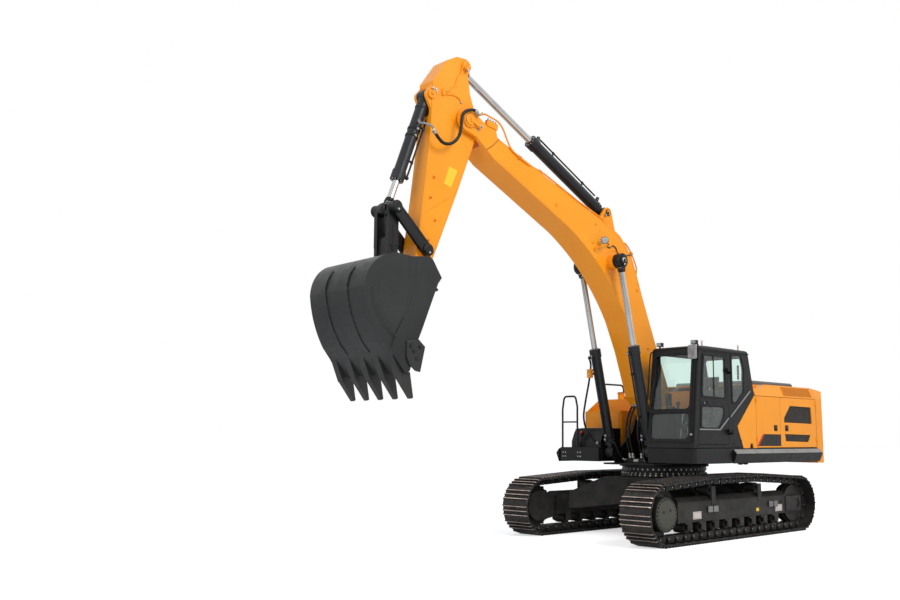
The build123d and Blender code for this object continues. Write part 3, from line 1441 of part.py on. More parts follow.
def make_h_link():
    """Link from the rocker pin down to the bucket: two ears above, one wide boss below."""
    low = along(LINK_PIN, BUCKET_LINK_PIN, 1.0 - 330 / 759)
    with BuildPart() as link:
        extrude(
            hull_of(LINK_EARS_Y[1], (*LINK_PIN, 84), (*BUCKET_LINK_PIN, 80)),
            amount=LINK_EARS_Y[1] - LINK_EARS_Y[0],
        )
        extrude(
            hull_of(-LINK_EARS_Y[0], (*LINK_PIN, 84), (*BUCKET_LINK_PIN, 80)),
            amount=LINK_EARS_Y[1] - LINK_EARS_Y[0],
        )
        extrude(
            hull_of(LINK_EARS_Y[0], (*low, 48), (*BUCKET_LINK_PIN, 60)),
            amount=2 * LINK_EARS_Y[0],
        )
        bar(BUCKET_LINK_PIN, 80, (-LINK_EARS_Y[1], LINK_EARS_Y[1]))
        for y in ((-400, -ARM_TIP_HALF_WIDTH), (ARM_TIP_HALF_WIDTH, 400)):
            bar(BUCKET_LINK_PIN, 230, y, Mode.SUBTRACT)
        bar(LINK_PIN, ROCKER_PIN_RADIUS + PIN_CLEARANCE, (-300, 300), Mode.SUBTRACT)
    return link


arm = make_arm()
rocker_links = make_rocker_links()
h_link = make_h_link()

# ---------------------------------------------------------------- bucket
BUCKET_FRONT_X = 5800.0
BUCKET_BEND_X = 6400.0      # behind this the side plates draw in
BUCKET_REAR_X = 7020.0
BUCKET_TAPER = 125.0        # how much nearer to the middle each side plate is at the back
TORQUE_BOX_FRONT = (5870.0, 3590.0)
TORQUE_BOX_REAR = (6440.0, 3938.0)
BACK_TOP = (6540.0, 4000.0)
BACK_MIDDLE = (6990.0, 3520.0)
BACK_LOW = (6720.0, 2835.0)
HEEL = (6585.0, 2695.0)
LIP = (6399.0, 2453.0)
LIP_THICKNESS = 42.0
WEAR_STRIP = 12.0
WEAR_STRIP_WIDTH = 34.0
WEAR_STRIPS_Y = (-250.0, 250.0)
ADAPTER_WIDTH = 112.0
TOOTH_ROOT = (6366.0, 2433.0)
TOOTH_TIP = (6228.0, 2136.0)
CUTTER_THICKNESS = 26.0


def bucket_plan(inset, thickness=None):
    """The bucket's tapered plan at an inset from its sides, or its two sides at a thickness."""
    front = BUCKET_HALF_WIDTH - inset
    rear = front - BUCKET_TAPER
    with BuildSketch(Plane.XY.offset(2000)) as plan:
        with BuildLine():
            Polyline(
                (BUCKET_FRONT_X, -front),
                (BUCKET_BEND_X, -front),
                (BUCKET_REAR_X, -rear),
                (BUCKET_REAR_X, rear),
                (BUCKET_BEND_X, front),
                (BUCKET_FRONT_X, front),
                close=True,
            )
        make_face()
        if thickness:
            with BuildLine():
                Polyline(
                    (BUCKET_FRONT_X - 1, -front + thickness),
                    (BUCKET_BEND_X, -front + thickness),
                    (BUCKET_REAR_X + 1, -rear + thickness),
                    (BUCKET_REAR_X + 1, rear - thickness),
                    (BUCKET_BEND_X, front - thickness),
                    (BUCKET_FRONT_X - 1, front - thickness),
                    close=True,
                )
            make_face(mode=Mode.SUBTRACT)
    return plan.sketch


def make_bucket_wrapper():
    """Torque box, curved back and floor of the bucket, between the side plates."""
    with BuildPart() as wrapper:
        with BuildSketch(side_plane(BUCKET_HALF_WIDTH)):
            with BuildLine():
                Polyline(TORQUE_BOX_FRONT, TORQUE_BOX_REAR, BACK_TOP)
                ThreePointArc(BACK_TOP, (6880, 3826), BACK_MIDDLE)
                ThreePointArc(BACK_MIDDLE, (6895, 3150), BACK_LOW)
                Polyline(BACK_LOW, HEEL, LIP)
                offset(amount=BUCKET_SHELL, side=Side.RIGHT, kind=Kind.INTERSECTION)
            make_face()
            with BuildLine():
                Polyline(
                    TORQUE_BOX_FRONT, TORQUE_BOX_REAR, (6430, 3800), (6000, 3540), close=True
                )
            make_face()
            with BuildLine():
                inner = along(HEEL, LIP, 0.12, -LIP_THICKNESS)
                Polyline(HEEL, LIP, along(HEEL, LIP, 1.0, -LIP_THICKNESS), inner, close=True)
            make_face()
        extrude(amount=2 * BUCKET_HALF_WIDTH)
        extrude(bucket_plan(BUCKET_SIDE / 2), amount=2200, mode=Mode.INTERSECT)
    return wrapper


def make_bucket():
    """Tapered backhoe bucket with side plates, ears and wear strips."""
    wrapper = make_bucket_wrapper()
    with BuildPart() as sides:
        with BuildSketch(side_plane(BUCKET_HALF_WIDTH + 1)):
            with BuildLine():
                Polyline(LIP, HEEL, BACK_LOW)
                ThreePointArc(BACK_LOW, (6895, 3150), BACK_MIDDLE)
                ThreePointArc(BACK_MIDDLE, (6880, 3826), BACK_TOP)
                Polyline(BACK_TOP, (6345, 3973), (6045, 4020), (5985, 3980), (5829, 3750), (5893, 3660))
                Polyline((5893, 3660), (6146, 3021), (6212, 2870), (6330, 2475), LIP)
            make_face()
        extrude(amount=2 * BUCKET_HALF_WIDTH + 2)
        extrude(bucket_plan(0, BUCKET_SIDE), amount=2200, mode=Mode.INTERSECT)
    with BuildPart() as bucket:
        add(wrapper.part)
        add(sides.part)
        for y in (BUCKET_EARS_Y[1], -BUCKET_EARS_Y[0]):
            extrude(
                hull_of(
                    y,
                    (*BUCKET_PIN, 112),
                    (*BUCKET_LINK_PIN, 98),
                    (6560, 3975, 12),
                    (5990, 3600, 12),
                ),
                amount=BUCKET_EARS_Y[1] - BUCKET_EARS_Y[0],
            )
        for side in (-1, 1):
            bar(
                BUCKET_LINK_PIN,
                66,
                (side * BUCKET_EARS_Y[1], side * (BUCKET_EARS_Y[1] + 28)),
            )
        for y in WEAR_STRIPS_Y:
            with BuildSketch(side_plane(y + WEAR_STRIP_WIDTH / 2)):
                with BuildLine():
                    ThreePointArc((6880, 3826), (6975, 3665), BACK_MIDDLE)
                    ThreePointArc(BACK_MIDDLE, (6895, 3150), BACK_LOW)
                    Line(BACK_LOW, along(BACK_LOW, HEEL, 0.8))
                    offset(amount=WEAR_STRIP, side=Side.LEFT, kind=Kind.INTERSECTION)
                make_face()
            extrude(amount=WEAR_STRIP_WIDTH)
        bar(BUCKET_PIN, BUCKET_PIN_RADIUS + PIN_CLEARANCE, (-300, 300), Mode.SUBTRACT)
    return bucket


def make_bucket_teeth():
    """Five adapters with tapered teeth over the lip, and the bolted side cutters."""
    lean = atan2(TOOTH_TIP[0] - TOOTH_ROOT[0], TOOTH_TIP[1] - TOOTH_ROOT[1])
    reach = hypot(TOOTH_TIP[0] - TOOTH_ROOT[0], TOOTH_TIP[1] - TOOTH_ROOT[1])
    with BuildPart() as teeth:
        for i in range(TOOTH_COUNT):
            y = (i / (TOOTH_COUNT - 1) - 0.5) * TOOTH_SPREAD
            extrude(
                side_outline(
                    y + ADAPTER_WIDTH / 2,
                    along(HEEL, LIP, 0.05),
                    (6448, 2388),
                    (6290, 2482),
                    along(HEEL, LIP, 0.5, -LIP_THICKNESS),
                ),
                amount=ADAPTER_WIDTH,
            )
            root = Plane(
                origin=(TOOTH_ROOT[0], y, TOOTH_ROOT[1]),
                x_dir=(0, 1, 0),
                z_dir=(sin(lean), 0, cos(lean)),
            )
            with BuildSketch(root):
                Rectangle(ADAPTER_WIDTH - 8, 178)
            with BuildSketch(root.offset(reach)):
                Rectangle(78, 34)
            loft()
        extrude(
            side_outline(
                BUCKET_HALF_WIDTH,
                along(HEEL, LIP, -0.5, 0.3),
                along(HEEL, LIP, 1.0, 0.3),
                along(HEEL, LIP, 1.0, -LIP_THICKNESS - 0.3),
                along(HEEL, LIP, -0.5, -LIP_THICKNESS - 0.3),
            ),
            amount=2 * BUCKET_HALF_WIDTH,
            mode=Mode.SUBTRACT,
        )
        for y in (BUCKET_HALF_WIDTH + CUTTER_THICKNESS, -BUCKET_HALF_WIDTH):
            extrude(
                side_outline(
                    y,
                    (6215, 2890),
                    (6107, 2801),
                    (6180, 2472),
                    (6245, 2481),
                    (6344, 2553),
                    (BUCKET_BEND_X, 2660),
                    (BUCKET_BEND_X, 2860),
                ),
                amount=CUTTER_THICKNESS,
            )
    return teeth


bucket = make_bucket()
bucket_teeth = make_bucket_teeth()

# ---------------------------------------------------------------- hydraulic cylinders
# barrel: outer radius, bore, gland's distance from the foot; rod: radius, length from its eye
BOOM_CYLINDER = {"barrel": 88, "bore": 72, "gland": 1830, "rod": 50, "rod_length": 1897}
ARM_CYLINDER = {"barrel": 98, "bore": 80, "gland": 2000, "rod": 55, "rod_length": 2473}
BUCKET_CYLINDER = {"barrel": 86, "bore": 70, "gland": 1434, "rod": 50, "rod_length": 1528}
GLAND_LENGTH = 70.0
PISTON_LENGTH = 60.0
BORE_START = 160.0
BARREL_STAND = 40.0         # from a foot eye's rim to the full barrel


def cylinder_plane(foot, eye, y):
    """Plane at a cylinder's foot whose normal runs to its eye and whose x axis is +Y."""
    return Plane(
        origin=(foot[0], y, foot[1]), x_dir=(0, 1, 0), z_dir=(eye[0] - foot[0], 0, eye[1] - foot[1])
    )


def make_barrel(sizes, foot, eye, y, foot_half_width, foot_radius, pin_radius):
    """Barrel with its foot eye, bore and gland ring."""
    gland = sizes["gland"]
    start = foot_radius + BARREL_STAND
    with BuildPart(cylinder_plane(foot, eye, y)) as barrel:
        with Locations((0, 0, start / 2)):
            Cylinder(foot_half_width, start)
        with Locations((0, 0, (start + gland) / 2)):
            Cylinder(sizes["barrel"], gland - start)
        with Locations((0, 0, gland - GLAND_LENGTH)):
            Cylinder(sizes["barrel"] + 14, 2 * GLAND_LENGTH)
        Cylinder(foot_radius, 2 * foot_half_width, rotation=(0, 90, 0))
        with Locations((0, 0, (BORE_START + gland - GLAND_LENGTH) / 2)):
            Cylinder(sizes["bore"], gland - GLAND_LENGTH - BORE_START, mode=Mode.SUBTRACT)
        with Locations((0, 0, gland)):
            Cylinder(sizes["rod"] + PIN_CLEARANCE, 4 * GLAND_LENGTH, mode=Mode.SUBTRACT)
        Cylinder(
            pin_radius + PIN_CLEARANCE, 4 * foot_half_width, rotation=(0, 90, 0), mode=Mode.SUBTRACT
        )
    return barrel


def make_rod(sizes, foot, eye, y, eye_half_width, eye_radius):
    """Chromed rod with its piston inside the barrel and its eye outside."""
    far = hypot(eye[0] - foot[0], eye[1] - foot[1])
    start = far - sizes["rod_length"]
    with BuildPart(cylinder_plane(foot, eye, y)) as rod:
        with Locations((0, 0, (start + far) / 2)):
            Cylinder(sizes["rod"], far - start)
        with Locations((0, 0, start + PISTON_LENGTH / 2)):
            Cylinder(sizes["bore"] - PIN_CLEARANCE, PISTON_LENGTH)
        with Locations((0, 0, far)):
            Cylinder(eye_radius, 2 * eye_half_width, rotation=(0, 90, 0))
        with Locations((0, 0, far - eye_radius - 20)):
            Cylinder(sizes["rod"] + 14, 60)
    return rod


def make_boom_rod(side):
    """Boom cylinder rod: its eye carries the pin's cap outboard and a stub inboard."""
    y = side * BOOM_CYLINDER_Y
    rod = make_rod(BOOM_CYLINDER, BOOM_CYLINDER_FOOT, BOOM_CYLINDER_EYE, y, 55, 120)
    with BuildPart() as whole:
        add(rod.part)
        bar(BOOM_CYLINDER_EYE, 58, (side * (BOOM_EYE_FACE_Y + FACE_GAP), side * 515))
    return whole


boom_barrel_left, boom_barrel_right = (
    make_barrel(
        BOOM_CYLINDER, BOOM_CYLINDER_FOOT, BOOM_CYLINDER_EYE, side * BOOM_CYLINDER_Y, 55, 100, 52
    )
    for side in (1, -1)
)
boom_rod_left, boom_rod_right = (make_boom_rod(side) for side in (1, -1))
arm_barrel = make_barrel(
    ARM_CYLINDER, ARM_CYLINDER_FOOT, ARM_CYLINDER_EYE, 0, 69, 105, CYLINDER_PIN_RADIUS
)
arm_rod = make_rod(ARM_CYLINDER, ARM_CYLINDER_FOOT, ARM_CYLINDER_EYE, 0, 78, 108)
bucket_barrel = make_barrel(
    BUCKET_CYLINDER, BUCKET_CYLINDER_FOOT, LINK_PIN, 0, 80, 100, CYLINDER_PIN_RADIUS
)
bucket_rod = make_rod(BUCKET_CYLINDER, BUCKET_CYLINDER_FOOT, LINK_PIN, 0, 84, 98)

# ---------------------------------------------------------------- pieces and their files
PIECES = {
    "carbody": carbody,
    "carbody_legs": carbody_legs,
    "slewing_ring": slewing_ring,
    "track_frame_left": track_frame_left,
    "track_frame_right": track_frame_right,
    "track_left": track_left,
    "track_right": track_right,
    "sprocket_left": sprocket_left,
    "sprocket_right": sprocket_right,
    "idler_left": idler_left,
    "idler_right": idler_right,
    "rollers_left": rollers_left,
    "rollers_right": rollers_right,
    "house_frame": house_frame,
    "deck_left": deck_left,
    "deck_right": deck_right,
    "catwalk_left": catwalk_left,
    "catwalk_right": catwalk_right,
    "counterweight": counterweight,
    "engine_block": engine_block,
    "body_shell": body_shell,
    "front_panel": front_panel,
    "door_left_front": door_left_front,
    "door_left_rear": door_left_rear,
    "door_right": door_right,
    "grilles_left": grilles_left,
    "engine_hood": engine_hood,
    "exhaust": exhaust,
    "fuel_tank": fuel_tank,
    "hydraulic_tank": hydraulic_tank,
    "tool_box": tool_box,
    "handrails": handrails,
    "cab_shell": cab_shell,
    "cab_glass": cab_glass,
    "cab_door": cab_door,
    "door_glass": door_glass,
    "seat": seat,
    "consoles": consoles,
    "cab_fittings": cab_fittings,
    "boom": boom,
    "arm": arm,
    "rocker_links": rocker_links,
    "h_link": h_link,
    "bucket": bucket,
    "bucket_teeth": bucket_teeth,
    "boom_barrel_left": boom_barrel_left,
    "boom_barrel_right": boom_barrel_right,
    "boom_rod_left": boom_rod_left,
    "boom_rod_right": boom_rod_right,
    "arm_barrel": arm_barrel,
    "arm_rod": arm_rod,
    "bucket_barrel": bucket_barrel,
    "bucket_rod": bucket_rod,
}

boxes = [piece.part.bounding_box() for piece in PIECES.values()]
MIDDLE_X = (min(box.min.X for box in boxes) + max(box.max.X for box in boxes)) / 2
to_origin = Location((-MIDDLE_X, 0, 0))

os.makedirs("parts", exist_ok=True)
for name, piece in PIECES.items():
    placed = piece.part.moved(to_origin)
    placed.label = name
    export_step(placed, f"parts/{name}.step")
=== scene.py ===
import json
from math import atan2, cos, exp, hypot, pi, radians, sin, tan

import bmesh
import bpy
from mathutils import Matrix, Vector


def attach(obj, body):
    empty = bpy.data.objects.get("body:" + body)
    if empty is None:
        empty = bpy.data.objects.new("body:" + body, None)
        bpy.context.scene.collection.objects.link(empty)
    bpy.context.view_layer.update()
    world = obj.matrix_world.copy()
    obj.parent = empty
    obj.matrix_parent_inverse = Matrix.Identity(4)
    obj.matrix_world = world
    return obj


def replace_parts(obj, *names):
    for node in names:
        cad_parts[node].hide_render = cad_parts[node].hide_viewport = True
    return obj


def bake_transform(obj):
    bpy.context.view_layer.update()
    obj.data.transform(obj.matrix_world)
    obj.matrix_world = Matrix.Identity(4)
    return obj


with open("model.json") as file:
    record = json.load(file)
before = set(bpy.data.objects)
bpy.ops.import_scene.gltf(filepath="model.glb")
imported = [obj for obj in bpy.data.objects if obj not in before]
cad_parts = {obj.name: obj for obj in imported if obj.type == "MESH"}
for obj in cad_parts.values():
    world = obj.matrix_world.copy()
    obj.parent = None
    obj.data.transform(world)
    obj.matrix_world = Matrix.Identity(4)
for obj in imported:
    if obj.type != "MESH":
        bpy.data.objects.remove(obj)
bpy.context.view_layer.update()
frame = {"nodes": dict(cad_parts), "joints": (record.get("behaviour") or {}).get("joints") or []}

JOINTS = {joint["name"]: joint for joint in frame["joints"]}
SWING_X = JOINTS["swing"]["pos_m"][0]
SIDE_NAMES = {1: "left", -1: "right"}
UP = (0, 0, 1)
FLUSH = 0.0005      # a dressing stands off the solid's face that it lies on by this


# ---------------------------------------------------------------- places and directions
# Places are given in metres from the swing axis: x forward, y to the cab's side, z up.
def at(x, y, z):
    """A place given from the swing axis, in the model's frame."""
    return Vector((SWING_X + x, y, z))


def pin(joint):
    """A hinge's (x, z) from the swing axis."""
    x, _, z = JOINTS[joint]["pos_m"]
    return x - SWING_X, z


def between(start, end, share):
    """Point (x, z) part of the way from start to end."""
    return start[0] + (end[0] - start[0]) * share, start[1] + (end[1] - start[1]) * share


def around(radius, turn, z):
    """Place at a turn round the swing axis."""
    return (radius * cos(turn), radius * sin(turn), z)


ARM_PIN = pin("arm_swing")
BUCKET_PIN = pin("bucket_curl")
ROCKER_PIN = pin("rocker_swing")
LINK_PIN = pin("bucket_link_swing")
BUCKET_LINK_PIN = (6.215, 4.0)
# each cylinder's line, from its foot pin to its rod's eye
BOOM_CYLINDER = (pin("boom_barrel_swing"), (1.705, 4.597))
ARM_CYLINDER = (pin("arm_barrel_swing"), (4.963, 7.175))
BUCKET_CYLINDER = (pin("bucket_barrel_swing"), LINK_PIN)


# ---------------------------------------------------------------- shader nodes
def connect(tree, socket, value):
    """Gives a socket a value or a colour, or links another node's output to it."""
    if isinstance(value, bpy.types.NodeSocket):
        tree.links.new(value, socket)
    elif socket.type == "RGBA":
        socket.default_value = (*value, 1)
    else:
        socket.default_value = value


def fill(tree, node, **inputs):
    """Sets a node's inputs, named with _ for a space."""
    for name, value in inputs.items():
        connect(tree, node.inputs[name.replace("_", " ")], value)
    return node


def add(tree, kind, **inputs):
    """New shader node with its inputs."""
    return fill(tree, tree.nodes.new("ShaderNode" + kind), **inputs)


def arithmetic(tree, operation, first, second):
    """Output of a Math node on two values."""
    node = add(tree, "Math")
    node.operation = operation
    connect(tree, node.inputs[0], first)
    connect(tree, node.inputs[1], second)
    return node.outputs[0]


def new_material(name):
    """New node material; returns (material, tree, shader)."""
    material = bpy.data.materials.new(name)
    material.use_nodes = True
    return material, material.node_tree, material.node_tree.nodes["Principled BSDF"]


def noise(tree, scale, detail=4.0):
    """Noise fixed to the object, as a value output."""
    place = add(tree, "TexCoord").outputs["Object"]
    return add(tree, "TexNoise", Vector=place, Scale=scale, Detail=detail).outputs["Fac"]


def spread(tree, value, low, high, start=0.35, end=0.65):
    """Value output mapped from start..end to low..high."""
    node = add(tree, "MapRange", From_Min=start, From_Max=end, To_Min=low, To_Max=high, Value=value)
    return node.outputs["Result"]


def blend_colour(tree, share, first, second):
    """Mix of two colours, each a tuple or an output, by a value output."""
    node = add(tree, "Mix")
    node.data_type = "RGBA"
    return fill(tree, node, Factor=share, A=first, B=second).outputs["Result"]


def mottled(tree, colour, shade, scale, detail=4.0):
    """Colour that drifts between two tones in patches."""
    return blend_colour(tree, spread(tree, noise(tree, scale, detail), 0.0, 1.0), colour, shade)


# ---------------------------------------------------------------- camera, floor and light
CAMERA_AT = (13.647, 10.266, 1.632)
CAMERA_YAW = radians(224.881)
CAMERA_PITCH = radians(9.148)
CAMERA_ROLL = radians(0.194)
SENSOR = 36.0
LENS = 37.073
SHIFT = (-0.0925, -0.0123)


def make_camera():
    """The photograph's view, from in front on the cab's side, at eye height."""
    look = Vector((cos(CAMERA_PITCH) * cos(CAMERA_YAW), cos(CAMERA_PITCH) * sin(CAMERA_YAW),
                   sin(CAMERA_PITCH)))
    level_right = look.cross(Vector(UP)).normalized()
    level_up = level_right.cross(look)
    right = level_right * cos(CAMERA_ROLL) + level_up * sin(CAMERA_ROLL)
    up = level_up * cos(CAMERA_ROLL) - level_right * sin(CAMERA_ROLL)
    data = bpy.data.cameras.new("camera")
    data.sensor_width = SENSOR
    data.lens = LENS
    data.shift_x, data.shift_y = SHIFT
    data.clip_end = 400
    camera = bpy.data.objects.new("camera", data)
    turn = Matrix((right, up, -look)).transposed()
    camera.matrix_world = Matrix.Translation(at(*CAMERA_AT)) @ turn.to_4x4()
    bpy.context.scene.collection.objects.link(camera)
    bpy.context.scene.camera = camera


def make_world():
    """Soft even light from all round, and a white background behind the object."""
    bpy.context.scene.view_settings.view_transform = "Standard"
    world = bpy.data.worlds.new("studio")
    bpy.context.scene.world = world
    world.use_nodes = True
    tree = world.node_tree
    tree.nodes.clear()
    light = add(tree, "Background", Color=(0.92, 0.96, 1.0), Strength=0.52)
    backdrop = add(tree, "Background", Color=(1, 1, 1), Strength=1.0)
    path = add(tree, "LightPath")
    seen = path.outputs["Is Camera Ray"]
    for ray in ("Is Glossy Ray", "Is Transmission Ray"):
        seen = arithmetic(tree, "MAXIMUM", seen, path.outputs[ray])
    mix = add(tree, "MixShader", Fac=seen)
    connect(tree, mix.inputs[1], light.outputs[0])
    connect(tree, mix.inputs[2], backdrop.outputs[0])
    add(tree, "OutputWorld", Surface=mix.outputs[0])


def make_floor():
    """Plain pale floor that goes on to the horizon."""
    bpy.ops.mesh.primitive_circle_add(vertices=96, radius=160, fill_type="NGON", location=(0, 0, -0.001))
    floor = bpy.context.object
    floor.name = "floor"
    material, tree, shader = new_material("floor")
    lift = arithmetic(tree, "MULTIPLY", add(tree, "LightPath").outputs["Is Camera Ray"], 0.53)
    fill(tree, shader, Base_Color=(0.93, 0.93, 0.93), Roughness=0.85, Emission_Color=(1, 1, 1),
         Emission_Strength=lift)
    floor.data.materials.append(material)


def area_light(name, place, aim, size, power):
    """Square soft light at a place, turned towards aim."""
    data = bpy.data.lights.new(name, "AREA")
    data.shape = "SQUARE"
    data.size = size
    data.energy = power
    light = bpy.data.objects.new(name, data)
    light.location = at(*place)
    light.rotation_euler = (at(*aim) - at(*place)).to_track_quat("-Z", "Y").to_euler()
    bpy.context.scene.collection.objects.link(light)


make_camera()
make_world()
make_floor()
# large key light above the cab's side, and a weaker one in front
area_light("key", (2.0, 15.0, 15.0), (1.5, 0, 2.5), 9.0, 2100)
area_light("front", (18.0, 3.0, 10.0), (2, 0, 2.5), 8.0, 780)


# ---------------------------------------------------------------- materials
GLOSS = 0.25            # specular level of paint and rubber
EDGE_RADIUS = 0.006     # how far paint looks rounded at an edge


def painted(name, colour, shade, roughness, coat=0.0, dust=None, bump=0.03, edge_colour=None):
    """Sprayed steel: faint mottling, soft orange peel, rounded edges and a little edge wear.

    dust is (colour, height where it is thickest, height where it ends, strength)."""
    material, tree, shader = new_material(name)
    result = mottled(tree, colour, shade, 1.3)
    bevel = add(tree, "Bevel", Radius=EDGE_RADIUS)
    bevel.samples = 4
    rounded_normal = bevel.outputs["Normal"]
    if edge_colour:
        dot = add(tree, "VectorMath")
        dot.operation = "DOT_PRODUCT"
        connect(tree, dot.inputs[0], rounded_normal)
        connect(tree, dot.inputs[1], add(tree, "NewGeometry").outputs["Normal"])
        at_edge = spread(tree, dot.outputs["Value"], 1.0, 0.0, 0.8, 0.97)
        patches = spread(tree, noise(tree, 14.0), 0.0, 1.0, 0.45, 0.62)
        result = blend_colour(tree, arithmetic(tree, "MULTIPLY", at_edge, patches), result, edge_colour)
    if dust:
        dust_colour, low, high, strength = dust
        place = add(tree, "TexCoord").outputs["Object"]
        height = add(tree, "SeparateXYZ", Vector=place).outputs["Z"]
        patches = spread(tree, noise(tree, 5.0, 8.0), 0.0, strength)
        share = arithmetic(tree, "MULTIPLY", spread(tree, height, 1.0, 0.0, low, high), patches)
        result = blend_colour(tree, share, result, dust_colour)
    peel = add(tree, "Bump", Strength=bump, Distance=0.01, Height=noise(tree, 60.0, 2.0),
               Normal=rounded_normal)
    fill(tree, shader, Base_Color=result, Normal=peel.outputs["Normal"], Specular_IOR_Level=GLOSS,
         Roughness=spread(tree, noise(tree, 9.0, 6.0), roughness - 0.05, roughness + 0.07),
         Coat_Weight=coat, Coat_Roughness=0.12)
    return material


def worn_steel(name, colour, shade, roughness):
    """Bare steel polished by use, with dull patches."""
    material, tree, shader = new_material(name)
    fill(tree, shader, Base_Color=mottled(tree, colour, shade, 7.0, 6.0), Metallic=1.0,
         Roughness=spread(tree, noise(tree, 22.0, 6.0), roughness - 0.1, roughness + 0.15))
    return material


def chrome(name):
    """Hard-chromed rod."""
    material, tree, shader = new_material(name)
    tone = mottled(tree, (0.56, 0.55, 0.53), (0.47, 0.48, 0.49), 3.0, 2.0)
    fill(tree, shader, Base_Color=tone, Metallic=1.0, Roughness=spread(tree, noise(tree, 40.0), 0.1, 0.2))
    return material


def rubber(name, colour, roughness, grain=220.0):
    """Black rubber or plastic with a fine grain."""
    material, tree, shader = new_material(name)
    lighter = tuple(c * 1.5 + 0.002 for c in colour)
    bump = add(tree, "Bump", Strength=0.15, Distance=0.002, Height=noise(tree, grain, 3.0))
    fill(tree, shader, Base_Color=mottled(tree, colour, lighter, 12.0, 5.0), Specular_IOR_Level=GLOSS,
         Roughness=spread(tree, noise(tree, 30.0), roughness - 0.06, roughness + 0.08),
         Normal=bump.outputs["Normal"])
    return material


def glazing(name, colour):
    """Thin tinted safety glass."""
    material, tree, shader = new_material(name)
    fill(tree, shader, Base_Color=colour, IOR=1.45, Transmission_Weight=1.0,
         Roughness=spread(tree, noise(tree, 2.0, 2.0), 0.0, 0.02))
    return material


def woven(name, colour, shade):
    """Seat cloth with a fine square weave."""
    material, tree, shader = new_material(name)
    place = add(tree, "TexCoord").outputs["Object"]
    check = add(tree, "TexChecker", Vector=place, Scale=260.0, Color1=colour, Color2=shade)
    bump = add(tree, "Bump", Strength=0.25, Distance=0.002, Height=check.outputs["Fac"])
    fill(tree, shader, Base_Color=check.outputs["Color"], Sheen_Weight=0.4,
         Roughness=spread(tree, noise(tree, 20.0), 0.8, 0.95), Normal=bump.outputs["Normal"])
    return material


DUST = (0.06, 0.052, 0.042)

M = {
    "yellow": painted("yellow_paint", (0.9, 0.318, 0.009), (0.86, 0.288, 0.007), 0.36, coat=0.12),
    "frame_black": painted(
        "undercarriage_paint", (0.009, 0.009, 0.009), (0.016, 0.015, 0.014), 0.5,
        dust=(DUST, 0.1, 1.3, 0.5), edge_colour=(0.1, 0.095, 0.088),
    ),
    "black": painted("charcoal_paint", (0.005, 0.005, 0.0055), (0.008, 0.008, 0.009), 0.4),
    "grey_hood": painted("grey_paint", (0.095, 0.098, 0.102), (0.12, 0.122, 0.125), 0.45),
    # pale grey: the step pads and a hose, and also the painted highlight strip on the cab's and door's
    # diagonal edge
    "grey_and_painted_highlight": painted("grey_and_painted_highlight", (0.26, 0.26, 0.26), (0.2, 0.2, 0.2), 0.55, bump=0.08),
    "barrel": painted("barrel_paint", (0.011, 0.013, 0.015), (0.017, 0.019, 0.022), 0.36),
    "bucket": painted(
        "bucket_paint", (0.015, 0.017, 0.017), (0.023, 0.025, 0.025), 0.42, edge_colour=(0.13, 0.13, 0.125)
    ),
    "teeth": painted(
        "tooth_paint", (0.022, 0.022, 0.021), (0.034, 0.034, 0.032), 0.5, edge_colour=(0.16, 0.15, 0.14)
    ),
    "shoe": painted(
        "shoe_paint", (0.011, 0.01, 0.01), (0.02, 0.018, 0.017), 0.48,
        dust=(DUST, -0.2, 1.2, 0.45), edge_colour=(0.3, 0.26, 0.24),
    ),
    "polished": worn_steel("polished_edge", (0.62, 0.52, 0.47), (0.36, 0.28, 0.25), 0.34),
    "steel": worn_steel("zinc_steel", (0.5, 0.49, 0.46), (0.36, 0.35, 0.33), 0.38),
    "chrome": chrome("hard_chrome"),
    "hose": rubber("hose_rubber", (0.006, 0.006, 0.006), 0.45),
    "seal": rubber("seal_rubber", (0.005, 0.005, 0.006), 0.6),
    "plastic": rubber("grained_plastic", (0.014, 0.014, 0.015), 0.55),
    "wrap": rubber("mirror_wrap", (0.21, 0.205, 0.205), 0.5, grain=30.0),
    "louvre": painted("louvre_black", (0.03, 0.026, 0.022), (0.045, 0.038, 0.03), 0.55),
    "cloth": woven("seat_cloth", (0.022, 0.023, 0.025), (0.036, 0.037, 0.04)),
    "iron": painted("engine_paint", (0.05, 0.05, 0.05), (0.07, 0.07, 0.068), 0.55, bump=0.15),
    "glass": glazing("tinted_glass", (0.8, 0.92, 0.88)),
    "lens": painted("lamp_lens", (0.36, 0.38, 0.39), (0.3, 0.32, 0.33), 0.2, coat=0.6, bump=0.2),
    "red": painted("red_paint", (0.62, 0.035, 0.012), (0.55, 0.03, 0.01), 0.4),
    "pale": painted("pale_plate", (0.62, 0.61, 0.58), (0.54, 0.53, 0.5), 0.45),
    "plate_yellow": painted("plate_yellow", (0.95, 0.55, 0.03), (0.92, 0.52, 0.03), 0.4),
    "drive_olive": painted(
        "drive_cover_paint", (0.05, 0.05, 0.038), (0.066, 0.065, 0.05), 0.45, dust=(DUST, 0.1, 0.9, 0.4)
    ),
    "tread_grey": painted("tread_grey", (0.26, 0.26, 0.25), (0.32, 0.32, 0.31), 0.5, bump=0.12),
    # darker yellow: weld seams, and also the painted shade behind the louvre's slats
    "yellow_dark": painted("seam_and_painted_shade_yellow", (0.5, 0.15, 0.008), (0.44, 0.13, 0.007), 0.5),
    "plate_black": painted("plate_black", (0.012, 0.009, 0.008), (0.018, 0.014, 0.012), 0.35),
}

